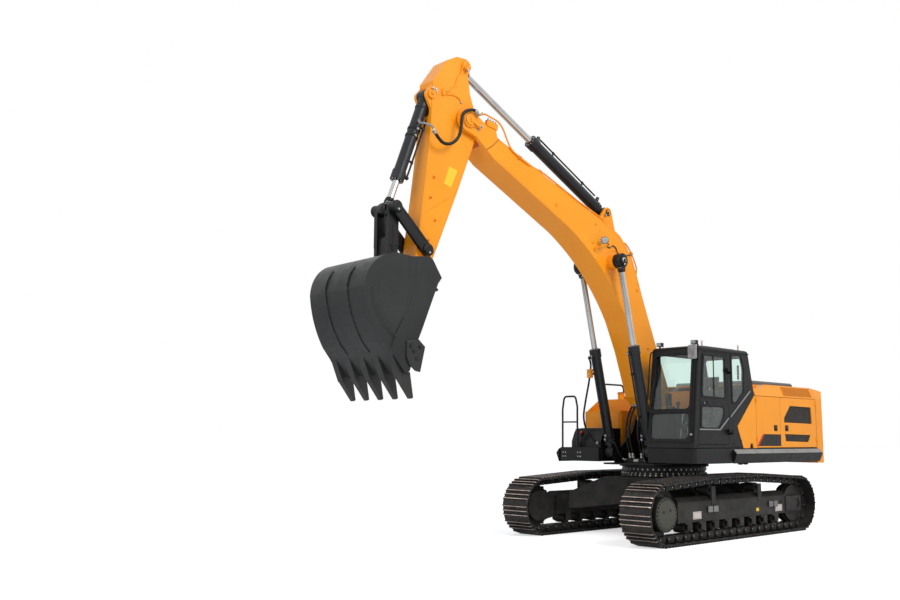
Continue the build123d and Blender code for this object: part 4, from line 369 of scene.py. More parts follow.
NODE_FINISH = {
    "yellow": (
        "counterweight", "body_shell", "front_panel", "door_left_front", "door_left_rear",
        "door_right", "fuel_tank", "hydraulic_tank", "boom", "arm",
    ),
    "frame_black": (
        "carbody", "carbody_legs", "slewing_ring", "track_frame_left", "track_frame_right", "rollers_left",
        "rollers_right", "idler_left", "idler_right", "sprocket_left", "sprocket_right",
    ),
    "shoe": ("track_left", "track_right"),
    "black": (
        "house_frame", "deck_left", "deck_right", "catwalk_left", "catwalk_right", "tool_box",
        "handrails", "cab_shell", "cab_door", "cab_fittings", "rocker_links", "h_link", "exhaust",
    ),
    "grey_hood": ("engine_hood",),
    "iron": ("engine_block",),
    "louvre": ("grilles_left",),
    "glass": ("cab_glass", "door_glass"),
    "cloth": ("seat",),
    "plastic": ("consoles",),
    "bucket": ("bucket",),
    "teeth": ("bucket_teeth",),
    "barrel": ("boom_barrel_left", "boom_barrel_right", "arm_barrel", "bucket_barrel"),
    "chrome": ("boom_rod_left", "boom_rod_right", "arm_rod", "bucket_rod"),
}
for finish, names in NODE_FINISH.items():
    for name in names:
        for slot in frame["nodes"][name].material_slots:
            slot.material = M[finish]


# ---------------------------------------------------------------- piece building
def circle(centre, axis, radius, sides, across=None):
    """Points evenly round a circle that faces along axis, in the model's frame."""
    if across is None:
        across = axis.orthogonal().normalized()
    other = axis.cross(across)
    turns = [2 * pi * i / sides for i in range(sides)]
    return [centre + (across * cos(turn) + other * sin(turn)) * radius for turn in turns]


class Shape:
    """Mesh under construction, in places from the swing axis.

    Each piece's finishes are numbered from 0 in the order given."""

    def __init__(self, name, body, slot, *finishes):
        self.name = name
        self.body = body
        self.slot = slot
        self.finishes = finishes
        self.mesh = bmesh.new()

    def loop(self, points):
        """Vertices at points of the model's frame."""
        return [self.mesh.verts.new(point) for point in points]

    def skin(self, loops, finish=0, smooth=False, caps=True):
        """Walls between each loop and the next, closed at both ends by caps."""
        for one, two in zip(loops, loops[1:]):
            count = len(one)
            for i in range(count):
                j = (i + 1) % count
                side = self.mesh.faces.new((one[i], one[j], two[j], two[i]))
                side.material_index = finish
                side.smooth = smooth
        if caps:
            for loop in (loops[0][::-1], loops[-1]):
                self.mesh.faces.new(loop).material_index = finish

    def face(self, corners, finish=0):
        """One flat face."""
        self.mesh.faces.new(self.loop(at(*c) for c in corners)).material_index = finish

    def prism(self, outline, offset, finish=0):
        """Closed solid from a planar outline of (x, y, z) moved by offset."""
        low = [at(*c) for c in outline]
        high = [corner + Vector(offset) for corner in low]
        self.skin([self.loop(low), self.loop(high)], finish)

    def slab(self, x, y, z, finish=0):
        """Box between the limits x, y and z."""
        outline = [(x[0], y[0], z[0]), (x[1], y[0], z[0]), (x[1], y[0], z[1]), (x[0], y[0], z[1])]
        self.prism(outline, (0, y[1] - y[0], 0), finish)

    def side_plate(self, corners, y, thickness, finish=0):
        """Plate in the XZ plane through (x, z) corners, growing from y by thickness."""
        self.prism([(x, y, z) for x, z in corners], (0, thickness, 0), finish)

    def rod(self, start, end, radius, sides=16, finish=0, caps=True):
        """Round bar."""
        a, b = at(*start), at(*end)
        axis = (b - a).normalized()
        loops = [self.loop(circle(place, axis, radius, sides)) for place in (a, b)]
        self.skin(loops, finish, sides > 8, caps)

    def ring(self, centre, axis, outer, inner, height, sides=32, finish=0):
        """Washer or flange that stands on centre along axis."""
        a, axis = at(*centre), Vector(axis)
        section = ((inner, 0), (outer, 0), (outer, height), (inner, height))
        loops = [self.loop(circle(a + axis * rise, axis, radius, sides)) for radius, rise in section]
        for k in range(4):
            self.skin([loops[k], loops[(k + 1) % 4]], finish, k in (1, 3), caps=False)

    def bolt(self, place, axis, across, height, finish=0):
        """Hexagon head on a washer."""
        axis = Vector(axis).normalized()
        foot = Vector(place)
        mid = foot + axis * height * 0.25
        self.rod(foot, mid, across * 0.72, 12, finish)
        self.rod(mid, foot + axis * height, across * 0.5, 6, finish)

    def tube(self, points, radius, sides=10, finish=0):
        """Round tube through points, with a smooth skin."""
        places = [at(*p) for p in points]
        loops = []
        across = None
        for i, place in enumerate(places):
            axis = (places[min(i + 1, len(places) - 1)] - places[max(i - 1, 0)]).normalized()
            across = axis.orthogonal() if across is None else across - axis * across.dot(axis)
            across.normalize()
            loops.append(self.loop(circle(place, axis, radius, sides, across)))
        self.skin(loops, finish, True)

    def done(self, ride=True):
        """Finishes the mesh, makes its object and lets it ride on its body."""
        bmesh.ops.recalc_face_normals(self.mesh, faces=self.mesh.faces)
        data = bpy.data.meshes.new(self.name)
        self.mesh.to_mesh(data)
        self.mesh.free()
        for finish in self.finishes:
            data.materials.append(M[finish])
        piece = bpy.data.objects.new(self.name, data)
        bpy.context.scene.collection.objects.link(piece)
        if ride:
            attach(piece, self.body)
        return piece


def turned(shape, centre, axis, profile, sides=40, finish=0, smooth=True):
    """Solid of revolution: profile gives (distance along axis, radius), closed at both ends."""
    a, axis = at(*centre), Vector(axis).normalized()
    loops = [shape.loop(circle(a + axis * reach, axis, radius, sides)) for reach, radius in profile]
    shape.skin(loops, finish, smooth)


def bolt_circle(shape, centre, axis, radius, count, across, height, finish=0):
    """Hexagon heads evenly round a circle that faces along axis."""
    axis = Vector(axis).normalized()
    second = axis.cross(Vector(UP if abs(axis.z) < 0.9 else (1, 0, 0))).normalized()
    first = second.cross(axis)
    for i in range(count):
        turn = 2 * pi * i / count
        place = Vector(centre) + first * radius * cos(turn) + second * radius * sin(turn)
        shape.bolt(place, axis, across, height, finish)


def smooth_line(points, steps=6):
    """Points on a smooth line through the given points."""
    ends = [points[0], *points, points[-1]]
    line = []
    for i in range(1, len(ends) - 2):
        p0, p1, p2, p3 = (Vector(ends[i + k]) for k in (-1, 0, 1, 2))
        bend = 2 * p0 - 5 * p1 + 4 * p2 - p3
        rest = 3 * p1 - p0 - 3 * p2 + p3
        for k in range(steps):
            t = k / steps
            line.append(tuple(0.5 * (2 * p1 + (p2 - p0) * t + bend * t**2 + rest * t**3)))
    line.append(tuple(points[-1]))
    return line


# ---------------------------------------------------------------- tracks
SHOES = 48
GAUGE = 2.59
SHOE_WIDTH = 0.6
WHEEL_X = 2.0
HUB_Z = 0.487
PITCH_RADIUS = 0.377
TRACK_RISE = 0.072
CARRIER_X = (-0.76, 0.64)
OUT_SHOE, SHOE, GROUSER = 0.062, 0.014, 0.034
GROUSER_TIP, GROUSER_ROOT = 0.012, 0.03
EDGE_DROP = 0.01


def run_pieces():
    """The pin line's stretches: each as (length, function of distance giving x, z and heading)."""
    high = HUB_Z + PITCH_RADIUS + TRACK_RISE
    low = HUB_Z - PITCH_RADIUS
    stretches = []

    def straight(start, end):
        run = (end[0] - start[0], end[1] - start[1])
        heading = atan2(run[1], run[0])
        stretches.append(
            (hypot(*run), lambda s: (start[0] + cos(heading) * s, start[1] + sin(heading) * s, heading))
        )

    def arc(centre_x, start_angle, end_angle):
        length = abs(end_angle - start_angle) * PITCH_RADIUS

        def place(s):
            angle = start_angle + (end_angle - start_angle) * s / length
            return centre_x + PITCH_RADIUS * cos(angle), HUB_Z + PITCH_RADIUS * sin(angle), angle - pi / 2

        stretches.append((length, place))

    def climb(wheel, carrier):
        """Angle, foot and top of the slope from a wheel up to a carrier roller."""
        run = carrier - wheel
        reach = hypot(run, PITCH_RADIUS + TRACK_RISE)
        tangent = (reach**2 - PITCH_RADIUS**2) ** 0.5
        slope = atan2(PITCH_RADIUS + TRACK_RISE, abs(run)) - atan2(PITCH_RADIUS, tangent)
        side = 1 if run > 0 else -1
        foot = (wheel - side * PITCH_RADIUS * sin(slope), HUB_Z + PITCH_RADIUS * cos(slope))
        return pi / 2 + side * slope, foot, (carrier, high)

    rear = climb(-WHEEL_X, CARRIER_X[0])
    front = climb(WHEEL_X, CARRIER_X[1])
    straight((WHEEL_X, low), (-WHEEL_X, low))
    arc(-WHEEL_X, 3 * pi / 2, rear[0])
    straight(rear[1], rear[2])
    straight(rear[2], front[2])
    straight(front[2], front[1])
    arc(WHEEL_X, front[0], -pi / 2)
    return stretches


STRETCHES = run_pieces()
RUN_LENGTH = sum(length for length, _ in STRETCHES)
SHOE_PITCH = RUN_LENGTH / SHOES
# link plate's outline: which of its two pins, distance past that pin, height over the pin line
LINK_OUTLINE = (
    (0, -0.02, -0.04), (1, 0.02, -0.04), (1, 0.035, 0.0), (1, 0.015, 0.04),
    (1, -0.01, 0.0615), (0, 0.01, 0.0615), (0, -0.015, 0.04), (0, -0.035, 0.0),
)


def run_at(distance):
    """Place (x, z, heading) at a distance along the pin line."""
    distance %= RUN_LENGTH
    for length, place in STRETCHES:
        if distance <= length:
            return place(distance)
        distance -= length
    return place(length)


def make_track(side):
    """Shoes with three grousers, bolt heads, forged links, pins and bushings."""
    name = SIDE_NAMES[side]
    track = Shape(f"chain_{name}", "undercarriage", "track_steel", "shoe", "polished", "steel")
    top = OUT_SHOE + SHOE
    section = [(-0.012, OUT_SHOE), (-0.052, OUT_SHOE - 0.02), (-0.054, OUT_SHOE - 0.012),
               (-0.012, OUT_SHOE + 0.008)]
    crowns = []
    for share in (0.16, 0.5, 0.84):
        middle = share * SHOE_PITCH
        for half, height in ((GROUSER_ROOT / 2, 0), (GROUSER_TIP / 2, GROUSER)):
            section.append((middle - half, top + height))
        crowns.append(len(section) - 1)
        for half, height in ((GROUSER_TIP / 2, GROUSER), (GROUSER_ROOT / 2, 0)):
            section.append((middle + half, top + height))
    section += [(SHOE_PITCH - 0.004, top), (SHOE_PITCH - 0.004, OUT_SHOE)]
    half = SHOE_WIDTH / 2
    count = len(section)
    for i in range(SHOES):
        x, z, heading = run_at((i + 0.5) * SHOE_PITCH)
        along_run = Vector((cos(heading), 0, sin(heading)))
        out = Vector((-sin(heading), 0, cos(heading)))
        origin = Vector((x, side * GAUGE / 2, z))

        def place(s, height, y):
            """Place on this shoe, from its rear pin."""
            return tuple(origin + along_run * (s - SHOE_PITCH / 2) + out * height + Vector((0, y, 0)))

        loops = []
        for y, drop in ((-half, EDGE_DROP), (-half + 0.03, 0), (half - 0.03, 0), (half, EDGE_DROP)):
            sunk = [(s, h - drop if h > top + 0.02 else h) for s, h in section]
            loops.append(track.loop(at(*place(s, h, y)) for s, h in sunk))
        for one, two in zip(loops, loops[1:]):
            for k in range(count):
                made = track.mesh.faces.new((one[k], one[(k + 1) % count], two[(k + 1) % count], two[k]))
                made.material_index = 1 if k in crowns else 0
        for loop in (loops[0][::-1], loops[-1]):
            track.mesh.faces.new(loop)
        for y in (-0.115, -0.055, 0.055, 0.115):
            for share in (0.33, 0.67):
                track.rod(place(share * SHOE_PITCH, top, y), place(share * SHOE_PITCH, top + 0.012, y),
                          0.015, 6)
        # links: an eye at each pin joined by a rail plate under the shoe
        for row in (-0.08, 0.08):
            for start, end, shift in ((0.0, 0.56, 0.012), (0.44, 1.0, -0.012)):
                y = row + (shift if row > 0 else -shift) - 0.016
                pins = (start * SHOE_PITCH, end * SHOE_PITCH)
                track.prism([place(pins[k] + reach, height, y) for k, reach, height in LINK_OUTLINE],
                            (0, 0.032, 0))
        track.rod(place(0, 0, -0.118), place(0, 0, 0.118), 0.024, 12)
        track.rod(place(0, 0, -0.121), place(0, 0, 0.121), 0.011, 8, 2)
        track.rod(place(0, 0, -0.06), place(0, 0, 0.06), 0.036, 14, caps=False)
    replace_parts(track.done(), f"track_{name}")


# ---------------------------------------------------------------- undercarriage details
FRAME_FACE_Y = GAUGE / 2 + 0.165
COVER_Y = 1.53
COVER_RADIUS = 0.262
RING_BOLTS = 48
ROLLERS = 8
ROLLER_PITCH = 0.372


def make_drive_cover(side):
    """Final drive's cover: domed olive plate inside a ring of bolts, with two oil plugs."""
    cover = Shape(
        f"drive_cover_{SIDE_NAMES[side]}", "undercarriage", "undercarriage_steel",
        "drive_olive", "frame_black",
    )
    out = (0, side, 0)
    turned(
        cover, (WHEEL_X, side * COVER_Y, HUB_Z), out,
        [(FLUSH, COVER_RADIUS - 0.002), (0.01, COVER_RADIUS - 0.008), (0.013, 0.215), (0.013, 0.214),
         (0.02, 0.205), (0.024, 0.16), (0.026, 0.05)],
        48, smooth=False,
    )
    bolt_circle(cover, (WHEEL_X, side * (COVER_Y + 0.01), HUB_Z), out, 0.236, 24, 0.024, 0.014, 1)
    for turn in (0.5, 2.4):
        plug = (WHEEL_X + 0.1 * cos(turn), side * (COVER_Y + 0.022), HUB_Z + 0.1 * sin(turn))
        cover.bolt(plug, out, 0.032, 0.014, 1)
    cover.done()


def make_frame_details(side):
    """Step pads, blank labels, roller bolts, roller shells and welded ribs on a track frame."""
    y = side * FRAME_FACE_Y
    out = (0, side, 0)
    parts = Shape(
        f"frame_details_{SIDE_NAMES[side]}", "undercarriage", "undercarriage_steel",
        "frame_black", "grey_and_painted_highlight", "pale", "red", "plate_yellow", "steel",
    )

    def flat(x, z, low, high, finish=0):
        parts.slab(x, (y + side * low, y + side * high), z, finish)

    for x in (0.6, 0.755, -1.1, -1.255):
        flat((x - 0.066, x + 0.066), (0.458, 0.562), 0, 0.022)
        flat((x - 0.06, x + 0.06), (0.464, 0.556), 0.022, 0.03, 1)
        for middle in (x - 0.03, x, x + 0.03):
            flat((middle - 0.006, middle + 0.006), (0.47, 0.55), 0.03, 0.034, 1)
    # blank labels: two pale ones with a red border inside, and a small yellow one
    for x in (1.095, -1.389):
        flat((x - 0.115, x + 0.115), (0.372, 0.488), FLUSH, 0.002, 2)
        flat((x - 0.103, x + 0.103), (0.384, 0.476), 0.002, 0.003, 3)
        flat((x - 0.098, x + 0.098), (0.389, 0.471), 0.003, 0.0035, 2)
    flat((-0.735, -0.65), (0.405, 0.46), FLUSH, 0.002, 4)
    # weld flange along the frame's lower and upper edges
    flat((-1.6, 1.55), (0.332, 0.35), 0, 0.01)
    flat((-1.6, 1.55), (0.622, 0.636), 0, 0.008)
    for i in range(ROLLERS):
        x = ROLLER_PITCH * (i - (ROLLERS - 1) / 2)
        for bolt_x in (x - 0.055, x + 0.055):
            parts.bolt((bolt_x, y - side * 0.02, 0.318), (0, 0, -1), 0.03, 0.02, 5)
        # roller's end collar
        collar = [(0.0, 0.055), (0.014, 0.055), (0.02, 0.042), (0.022, 0.02)]
        turned(parts, (x, y - side * 0.012, 0.235), out, collar, 20)
    # idler yoke: two long ribs, four bolts and the grease valve's cover
    flat((-2.12, -1.66), (0.565, 0.59), 0, 0.012)
    flat((-2.12, -1.66), (0.38, 0.405), 0, 0.012)
    for x in (-1.7, -1.78):
        for z in (0.44, 0.53):
            parts.bolt((x, y, z), out, 0.026, 0.016)
    turned(parts, (-1.5, y, 0.53), out, [(0.0, 0.04), (0.01, 0.038), (0.012, 0.026)], 20)
    parts.done()


def make_swing_bolts():
    """Bolt heads round the fixed half of the swing bearing."""
    bolts = Shape("bearing_bolts", "undercarriage", "undercarriage_steel", "frame_black", "steel")
    for i in range(RING_BOLTS):
        turn = 2 * pi * (i + 0.5) / RING_BOLTS
        bolts.bolt(around(0.745, turn, 1.0264), UP, 0.024, 0.02, 1)
        bolts.bolt(around(0.762, turn, 1.004), around(1, turn, 0), 0.018, 0.008, 1)
    bolts.done()


def make_ring_bolts():
    """Bolt heads round the turning half of the swing bearing, under a flange."""
    bolts = Shape("upper_ring_bolts", "house", "deck_black", "black", "steel")
    for i in range(RING_BOLTS):
        turn = 2 * pi * i / RING_BOLTS
        bolts.bolt(around(0.744, turn, 1.105), around(1, turn, 0), 0.02, 0.01, 1)
    bolts.ring((0, 0, 1.15), UP, 0.79, 0.742, 0.034, 64)
    bolts.done()


for side in (1, -1):
    make_track(side)
for side in (1, -1):
    make_drive_cover(side)
    make_frame_details(side)
make_swing_bolts()
make_ring_bolts()


# ---------------------------------------------------------------- engine housing and decks
BODY_Y = 1.49
DOOR_SPLIT_X = -1.511
DOOR_PLATE = ((-0.96, 1.717), (DOOR_SPLIT_X, 1.7141), (DOOR_SPLIT_X, 1.5075), (-0.76, 1.51))
DOOR_STRIPE = ((-0.7, 1.505), (-0.765, 1.505), (-0.955, 1.717), (-0.905, 1.717))
LATCH_Z = (1.775, 1.878)
SHOULDER = ((BODY_Y, 2.385), (1.395, 2.6))
CATWALK_BEVEL = ((1.558, 1.38), (BODY_Y, 1.457))


def bevel_place(bevel, side):
    """Gives on(x, share, lift): places on a side's bevel from its low to its high (y, z) edge."""
    low, high = bevel
    out = Vector((0, high[1] - low[1], low[0] - high[0])).normalized()

    def on(x, share, lift):
        y, z = between(low, high, share)
        return (x, side * (y + out.y * lift), z + out.z * lift)

    return on


def bevel_bar(shape, on, x, length, shares, lifts, finish=0):
    """Bar along x on a bevel, between two shares of its width and two heights over it."""
    outline = [on(x, shares[k], lifts[h]) for k, h in ((0, 0), (1, 0), (1, 1), (0, 1))]
    shape.prism(outline, (length, 0, 0), finish)


def make_latch(name, body, x, side=1):
    """Recessed paddle latch with its black surround."""
    latch = Shape(name, body, "fitting_black", "plastic", "steel")
    low, high = LATCH_Z

    def block(x_range, start, end, z_range):
        latch.slab(x_range, (side * (BODY_Y + start), side * (BODY_Y + end)), z_range)

    block((x - 0.052, x + 0.052), 0, 0.006, (low, high))
    for left in (x - 0.044, x + 0.036):
        block((left, left + 0.008), 0.006, 0.012, (low + 0.01, high - 0.01))
    for foot in (low + 0.01, high - 0.018):
        block((x - 0.044, x + 0.044), 0.006, 0.012, (foot, foot + 0.008))
    block((x - 0.03, x + 0.03), 0.006, 0.018, (low + 0.022, high - 0.045))
    keyhole = (x, side * (BODY_Y + 0.006), high - 0.032)
    latch.rod(keyhole, (x, side * (BODY_Y + 0.01), high - 0.032), 0.009, 12, 1)
    latch.done()


def make_door_plate():
    """Blank black plate low on the left front door, with the orange-red stripe in front of it."""
    front = Shape("side_plate_front", "left_front_door", "fitting_black", "plate_black", "red")
    front.side_plate(DOOR_PLATE, BODY_Y, 0.002)
    front.side_plate(DOOR_STRIPE, BODY_Y, 0.002, 1)
    front.done()


def make_louvre(side):
    """Pressed slats on the body's chamfered shoulder, on a darker yellow plate that is painted shade between
    the slats.
    """
    louvre = Shape(f"louvre_{SIDE_NAMES[side]}", "house", "body_yellow", "yellow_dark", "yellow")
    on = bevel_place(SHOULDER, side)
    x0, x1 = -2.72, -1.68
    # darker yellow plate under the slats: painted shade in the gaps between them
    louvre.face([on(x0, 0.16, 0.0012), on(x1, 0.16, 0.0012), on(x1, 0.84, 0.0012), on(x0, 0.84, 0.0012)])
    slats = 9
    for i in range(slats):
        a = 0.18 + 0.64 * i / slats
        outline = [on(x0 + 0.02, a, 0.001), on(x0 + 0.02, a + 0.045, 0.009),
                   on(x0 + 0.02, a + 0.055, 0.001)]
        louvre.prism(outline, (x1 - x0 - 0.04, 0, 0), 1)
    for x in (x0, x1 - 0.012):
        bevel_bar(louvre, on, x, 0.012, (0.13, 0.87), (0.0, 0.01), 1)
    for a in (0.13, 0.845):
        bevel_bar(louvre, on, x0, x1 - x0, (a, a + 0.025), (0.0, 0.01), 1)
    louvre.done()


def make_body_marks():
    """Thin upright panel on the body's left rear corner."""
    marks = Shape("body_marks", "house", "fitting_black", "yellow")
    front, rear = (-3.074, BODY_Y - 0.002), (-3.174, BODY_Y - 0.056)
    marks.prism([(*front, 1.45), (*rear, 1.45), (*rear, 1.62), (*front, 1.62)], (0.0007, 0.0013, 0))
    marks.done()


def make_catwalk_tread(side, front_x):
    """Grey tread plates on a catwalk's upper bevel, with seams and small grip bars."""
    tread = Shape(f"tread_{SIDE_NAMES[side]}", "house", "deck_black", "tread_grey")
    on = bevel_place(CATWALK_BEVEL, side)
    rear = -2.895
    stops = [rear + (front_x - 0.02 - rear) * share for share in (0, 0.17, 0.34, 0.42, 0.6, 0.78, 1.0)]
    for start, end in zip(stops, stops[1:]):
        start += 0.005
        length = end - 0.005 - start
        bevel_bar(tread, on, start, length, (0.06, 0.95), (FLUSH, 0.004))
        count = max(int(length / 0.05), 1)
        for i in range(count):
            x = start + (i + 0.5) * length / count
            bevel_bar(tread, on, x, 0.008, (0.2, 0.8), (0.004, 0.007))
    tread.done()


def make_deck_details():
    """Bolts at the handrail's feet and jacking bosses under the deck."""
    deck = Shape("deck_details", "house", "deck_black", "black", "steel")
    for y in (-1.385, -1.325, -1.03, -0.97):
        for z in (1.315, 1.385):
            deck.bolt((1.16, y, z), (1, 0, 0), 0.02, 0.012, 1)
    for x in (-0.36, -0.52):
        turned(deck, (x, 1.36, 1.235), (0, 0, -1), [(0.0, 0.045), (0.03, 0.045), (0.042, 0.03)], 18)
    deck.done()


make_latch("latch_front", "left_front_door", -1.34)
make_latch("latch_rear", "left_rear_door", -1.725)
make_latch("latch_right", "right_door", -1.725, -1)
make_door_plate()
make_louvre(1)
make_louvre(-1)
make_body_marks()
make_catwalk_tread(1, 0.06)
make_catwalk_tread(-1, 1.16)
make_deck_details()


# ---------------------------------------------------------------- outlines
def inset(corners, distance):
    """Outline of (u, v) corners moved inwards by distance, or outwards where it is negative."""
    edges = zip(corners, [*corners[1:], corners[0]])
    side = 1 if sum(a[0] * b[1] - b[0] * a[1] for a, b in edges) > 0 else -1
    moved = []
    for i, corner in enumerate(corners):
        here = Vector(corner)
        before = (here - Vector(corners[i - 1])).normalized()
        after = (Vector(corners[(i + 1) % len(corners)]) - here).normalized()
        one, two = Vector((-before.y, before.x)), Vector((-after.y, after.x))
        moved.append(tuple(here + (one + two) * side * distance / (1 + one.dot(two))))
    return moved


def oblong(u, v):
    """Corners of the rectangle between the limits u and v."""
    return [(u[0], v[0]), (u[1], v[0]), (u[1], v[1]), (u[0], v[1])]


def rounded(corners, radius, steps=6):
    """Closed outline of (u, v) points with its corners rounded."""
    outline = []
    for i, corner in enumerate(corners):
        here = Vector(corner)
        back = Vector(corners[i - 1]) - here
        ahead = Vector(corners[(i + 1) % len(corners)]) - here
        reach = min(radius / tan(back.angle(ahead) / 2), back.length * 0.45, ahead.length * 0.45)
        start, end = here + back.normalized() * reach, here + ahead.normalized() * reach
        for k in range(steps + 1):
            t = k / steps
            outline.append(tuple(start * (1 - t) ** 2 + here * 2 * t * (1 - t) + end * t**2))
    return outline


def border(shape, place, corners, outer, inner, radius, low, high, finish=0):
    """Raised frame round an opening: place(u, v, lift) lays its outline on the panel."""
    loops = []
    for distance, lift in ((-outer, low), (-outer, high), (inner, high), (inner, low)):
        outline = rounded(inset(corners, distance), 0.02 if distance < 0 else radius)
        loops.append(shape.loop(at(*place(u, v, lift)) for u, v in outline))
    shape.skin([*loops, loops[0]], finish, caps=False)


def panel(shape, place, corners, radius, low, high, finish=0):
    """Raised plate with rounded corners: place(u, v, lift) lays its outline on the surface."""
    outline = rounded(corners, radius)
    base = [place(u, v, low) for u, v in outline]
    lift = Vector(place(*outline[0], high)) - Vector(base[0])
    shape.prism(base, tuple(lift), finish)


# ---------------------------------------------------------------- cab
CAB_FLOOR = 1.529
ROOF_Z = 3.155
SEAT_Y = 1.0175
SCREEN_FOOT = Vector((1.175, 0, 1.483))
SCREEN_UP = Vector((-0.195, 0, 1.672)).normalized()
SCREEN_OUT = Vector((SCREEN_UP.z, 0, -SCREEN_UP.x))
UPPER_PANE = oblong((0.6, 1.375), (0.62, 1.545))
LOWER_PANE = oblong((0.6, 1.375), (0.13, 0.57))
DOOR_UPPER_PANE = [(0.925, 2.32), (0.86, 3.0), (0.24, 3.0), (0.24, 2.3)]
DOOR_LOWER_PANE = [(0.965, 1.805), (0.46, 1.805), (0.3, 2.01), (0.29, 2.155), (0.94, 2.16)]
QUARTER_PANE = [
    (0.035, 2.235), (-0.08, 2.235), (-0.315, 2.435), (-0.34, 2.83), (-0.262, 3.055), (0.035, 3.055),
]
ROOF_PANE = oblong((-0.15, 0.62), (0.7, 1.27))


def on_screen(y, rise, lift):
    """Place on the windscreen's leaning plane."""
    place = SCREEN_FOOT + SCREEN_UP * rise + SCREEN_OUT * lift
    return (place.x, y, place.z)


def on_left(x, z, lift):
    """Place on the left side's plane."""
    return (x, BODY_Y + lift, z)


def on_roof(x, y, lift):
    """Place on the cab's roof."""
    return (x, y, ROOF_Z + lift)


def make_cab_trim():
    """Rubber seals, frames round the windscreen and roof window, ribs, a painted highlight strip, wiper, grab
    rail and latch.
    """
    trim = Shape("cab_trim", "house", "cab_black", "seal", "black", "steel", "grey_and_painted_highlight", "plastic")
    border(trim, on_screen, UPPER_PANE, 0.03, 0.016, 0.08, FLUSH, 0.008)
    border(trim, on_screen, LOWER_PANE, 0.03, 0.016, 0.08, FLUSH, 0.008)
    border(trim, on_screen, oblong((0.565, 1.45), (0.085, 1.65)), 0.0, 0.012, 0.05, FLUSH, 0.014, 1)
    panel(trim, on_screen, oblong((0.575, 1.4), (0.582, 0.608)), 0.008, 0.004, 0.022, 1)
    border(trim, on_left, QUARTER_PANE, 0.026, 0.012, 0.055, FLUSH, 0.008)
    border(trim, on_roof, ROOF_PANE, 0.1, 0.01, 0.06, FLUSH, 0.016, 1)
    # drip rail above the side windows, and a pale grey strip below the quarter window: a painted highlight
    # along the panel's diagonal edge
    panel(trim, on_left, oblong((-0.5, 0.94), (3.085, 3.1)), 0.004, 0.0, 0.016, 1)
    panel(trim, on_left, [(0.11, 1.985), (0.11, 2.012), (-0.51, 2.462), (-0.53, 2.445)], 0.006, FLUSH,
          0.014, 3)
    # skirt's rib and its bolts
    panel(trim, on_left, oblong((-0.24, 1.1), (1.5, 1.516)), 0.004, 0.0, 0.01, 1)
    for x, z in ((0.02, 1.56), (-0.2, 1.6), (-0.4, 2.25)):
        trim.bolt((x, BODY_Y, z), (0, 1, 0), 0.022, 0.01, 1)
    # wiper: spindle, arm and blade beside the near edge
    turned(trim, on_screen(0.585, 0.595, 0.018), tuple(SCREEN_OUT),
           [(0, 0.022), (0.018, 0.02), (0.022, 0.008)], 16, 4)
    trim.tube([on_screen(0.585, 0.6, 0.034), on_screen(0.61, 0.85, 0.04), on_screen(0.64, 1.15, 0.03)],
              0.007, 8, 4)
    trim.tube([on_screen(0.625, 0.8, 0.016), on_screen(0.64, 1.1, 0.018), on_screen(0.65, 1.48, 0.016)],
              0.009, 6)
    # grab rail outside the windscreen's inner edge
    rail = smooth_line([
        on_screen(0.575, 1.6, 0.0), on_screen(0.535, 1.57, 0.035), on_screen(0.528, 1.2, 0.04),
        on_screen(0.528, 0.75, 0.045), on_screen(0.535, 0.62, 0.04), on_screen(0.575, 0.59, 0.0),
    ])
    trim.tube(rail, 0.013, 10, 1)
    # latch on the front pillar
    trim.prism([on_screen(1.405, 0.205, 0.0), on_screen(1.45, 0.205, 0.0), on_screen(1.45, 0.23, 0.0),
                on_screen(1.405, 0.23, 0.0)], tuple(SCREEN_OUT * 0.016), 2)
    trim.done()


def make_door_trim():
    """Door's window seals, the sliding panes' bar, handle, inner grab bar, and a pale grey strip along the
    door's lower edge that is a painted highlight.
    """
    trim = Shape("door_trim", "cab_door_leaf", "cab_black", "seal", "black", "steel", "grey_and_painted_highlight",
                 "plastic")
    border(trim, on_left, DOOR_UPPER_PANE, 0.022, 0.012, 0.055, FLUSH, 0.008)
    border(trim, on_left, DOOR_LOWER_PANE, 0.022, 0.012, 0.045, FLUSH, 0.008)
    panel(trim, on_left, oblong((0.565, 0.59), (2.305, 2.995)), 0.004, FLUSH, 0.006)
    panel(trim, on_left, oblong((0.25, 0.99), (2.246, 2.268)), 0.004, 0.0, 0.012, 4)
    # pale grey strip along the door's foot and up towards its rear: a painted highlight on the recess's edge
    ribs = [(1.02, 1.772), (0.43, 1.772), (0.172, 1.96), (0.172, 1.99), (0.44, 1.794), (1.02, 1.794)]
    panel(trim, on_left, ribs, 0.006, FLUSH, 0.012, 3)
    # handle: recessed cup, paddle and lock
    panel(trim, on_left, oblong((0.68, 0.9), (2.19, 2.24)), 0.015, 0.0, 0.006, 4)
    trim.tube([(0.87, BODY_Y + 0.004, 2.222), (0.86, BODY_Y + 0.03, 2.222), (0.72, BODY_Y + 0.03, 2.222),
               (0.71, BODY_Y + 0.004, 2.222)], 0.009, 8, 1)
    trim.rod((0.87, BODY_Y + 0.004, 2.215), (0.87, BODY_Y + 0.02, 2.215), 0.014, 14, 2)
    # inner grab bar
    trim.tube(smooth_line([(0.9, 1.448, 2.2), (0.88, 1.415, 2.22), (0.6, 1.412, 2.22), (0.32, 1.415, 2.22),
                           (0.3, 1.448, 2.2)]), 0.012, 8, 4)
    trim.done()


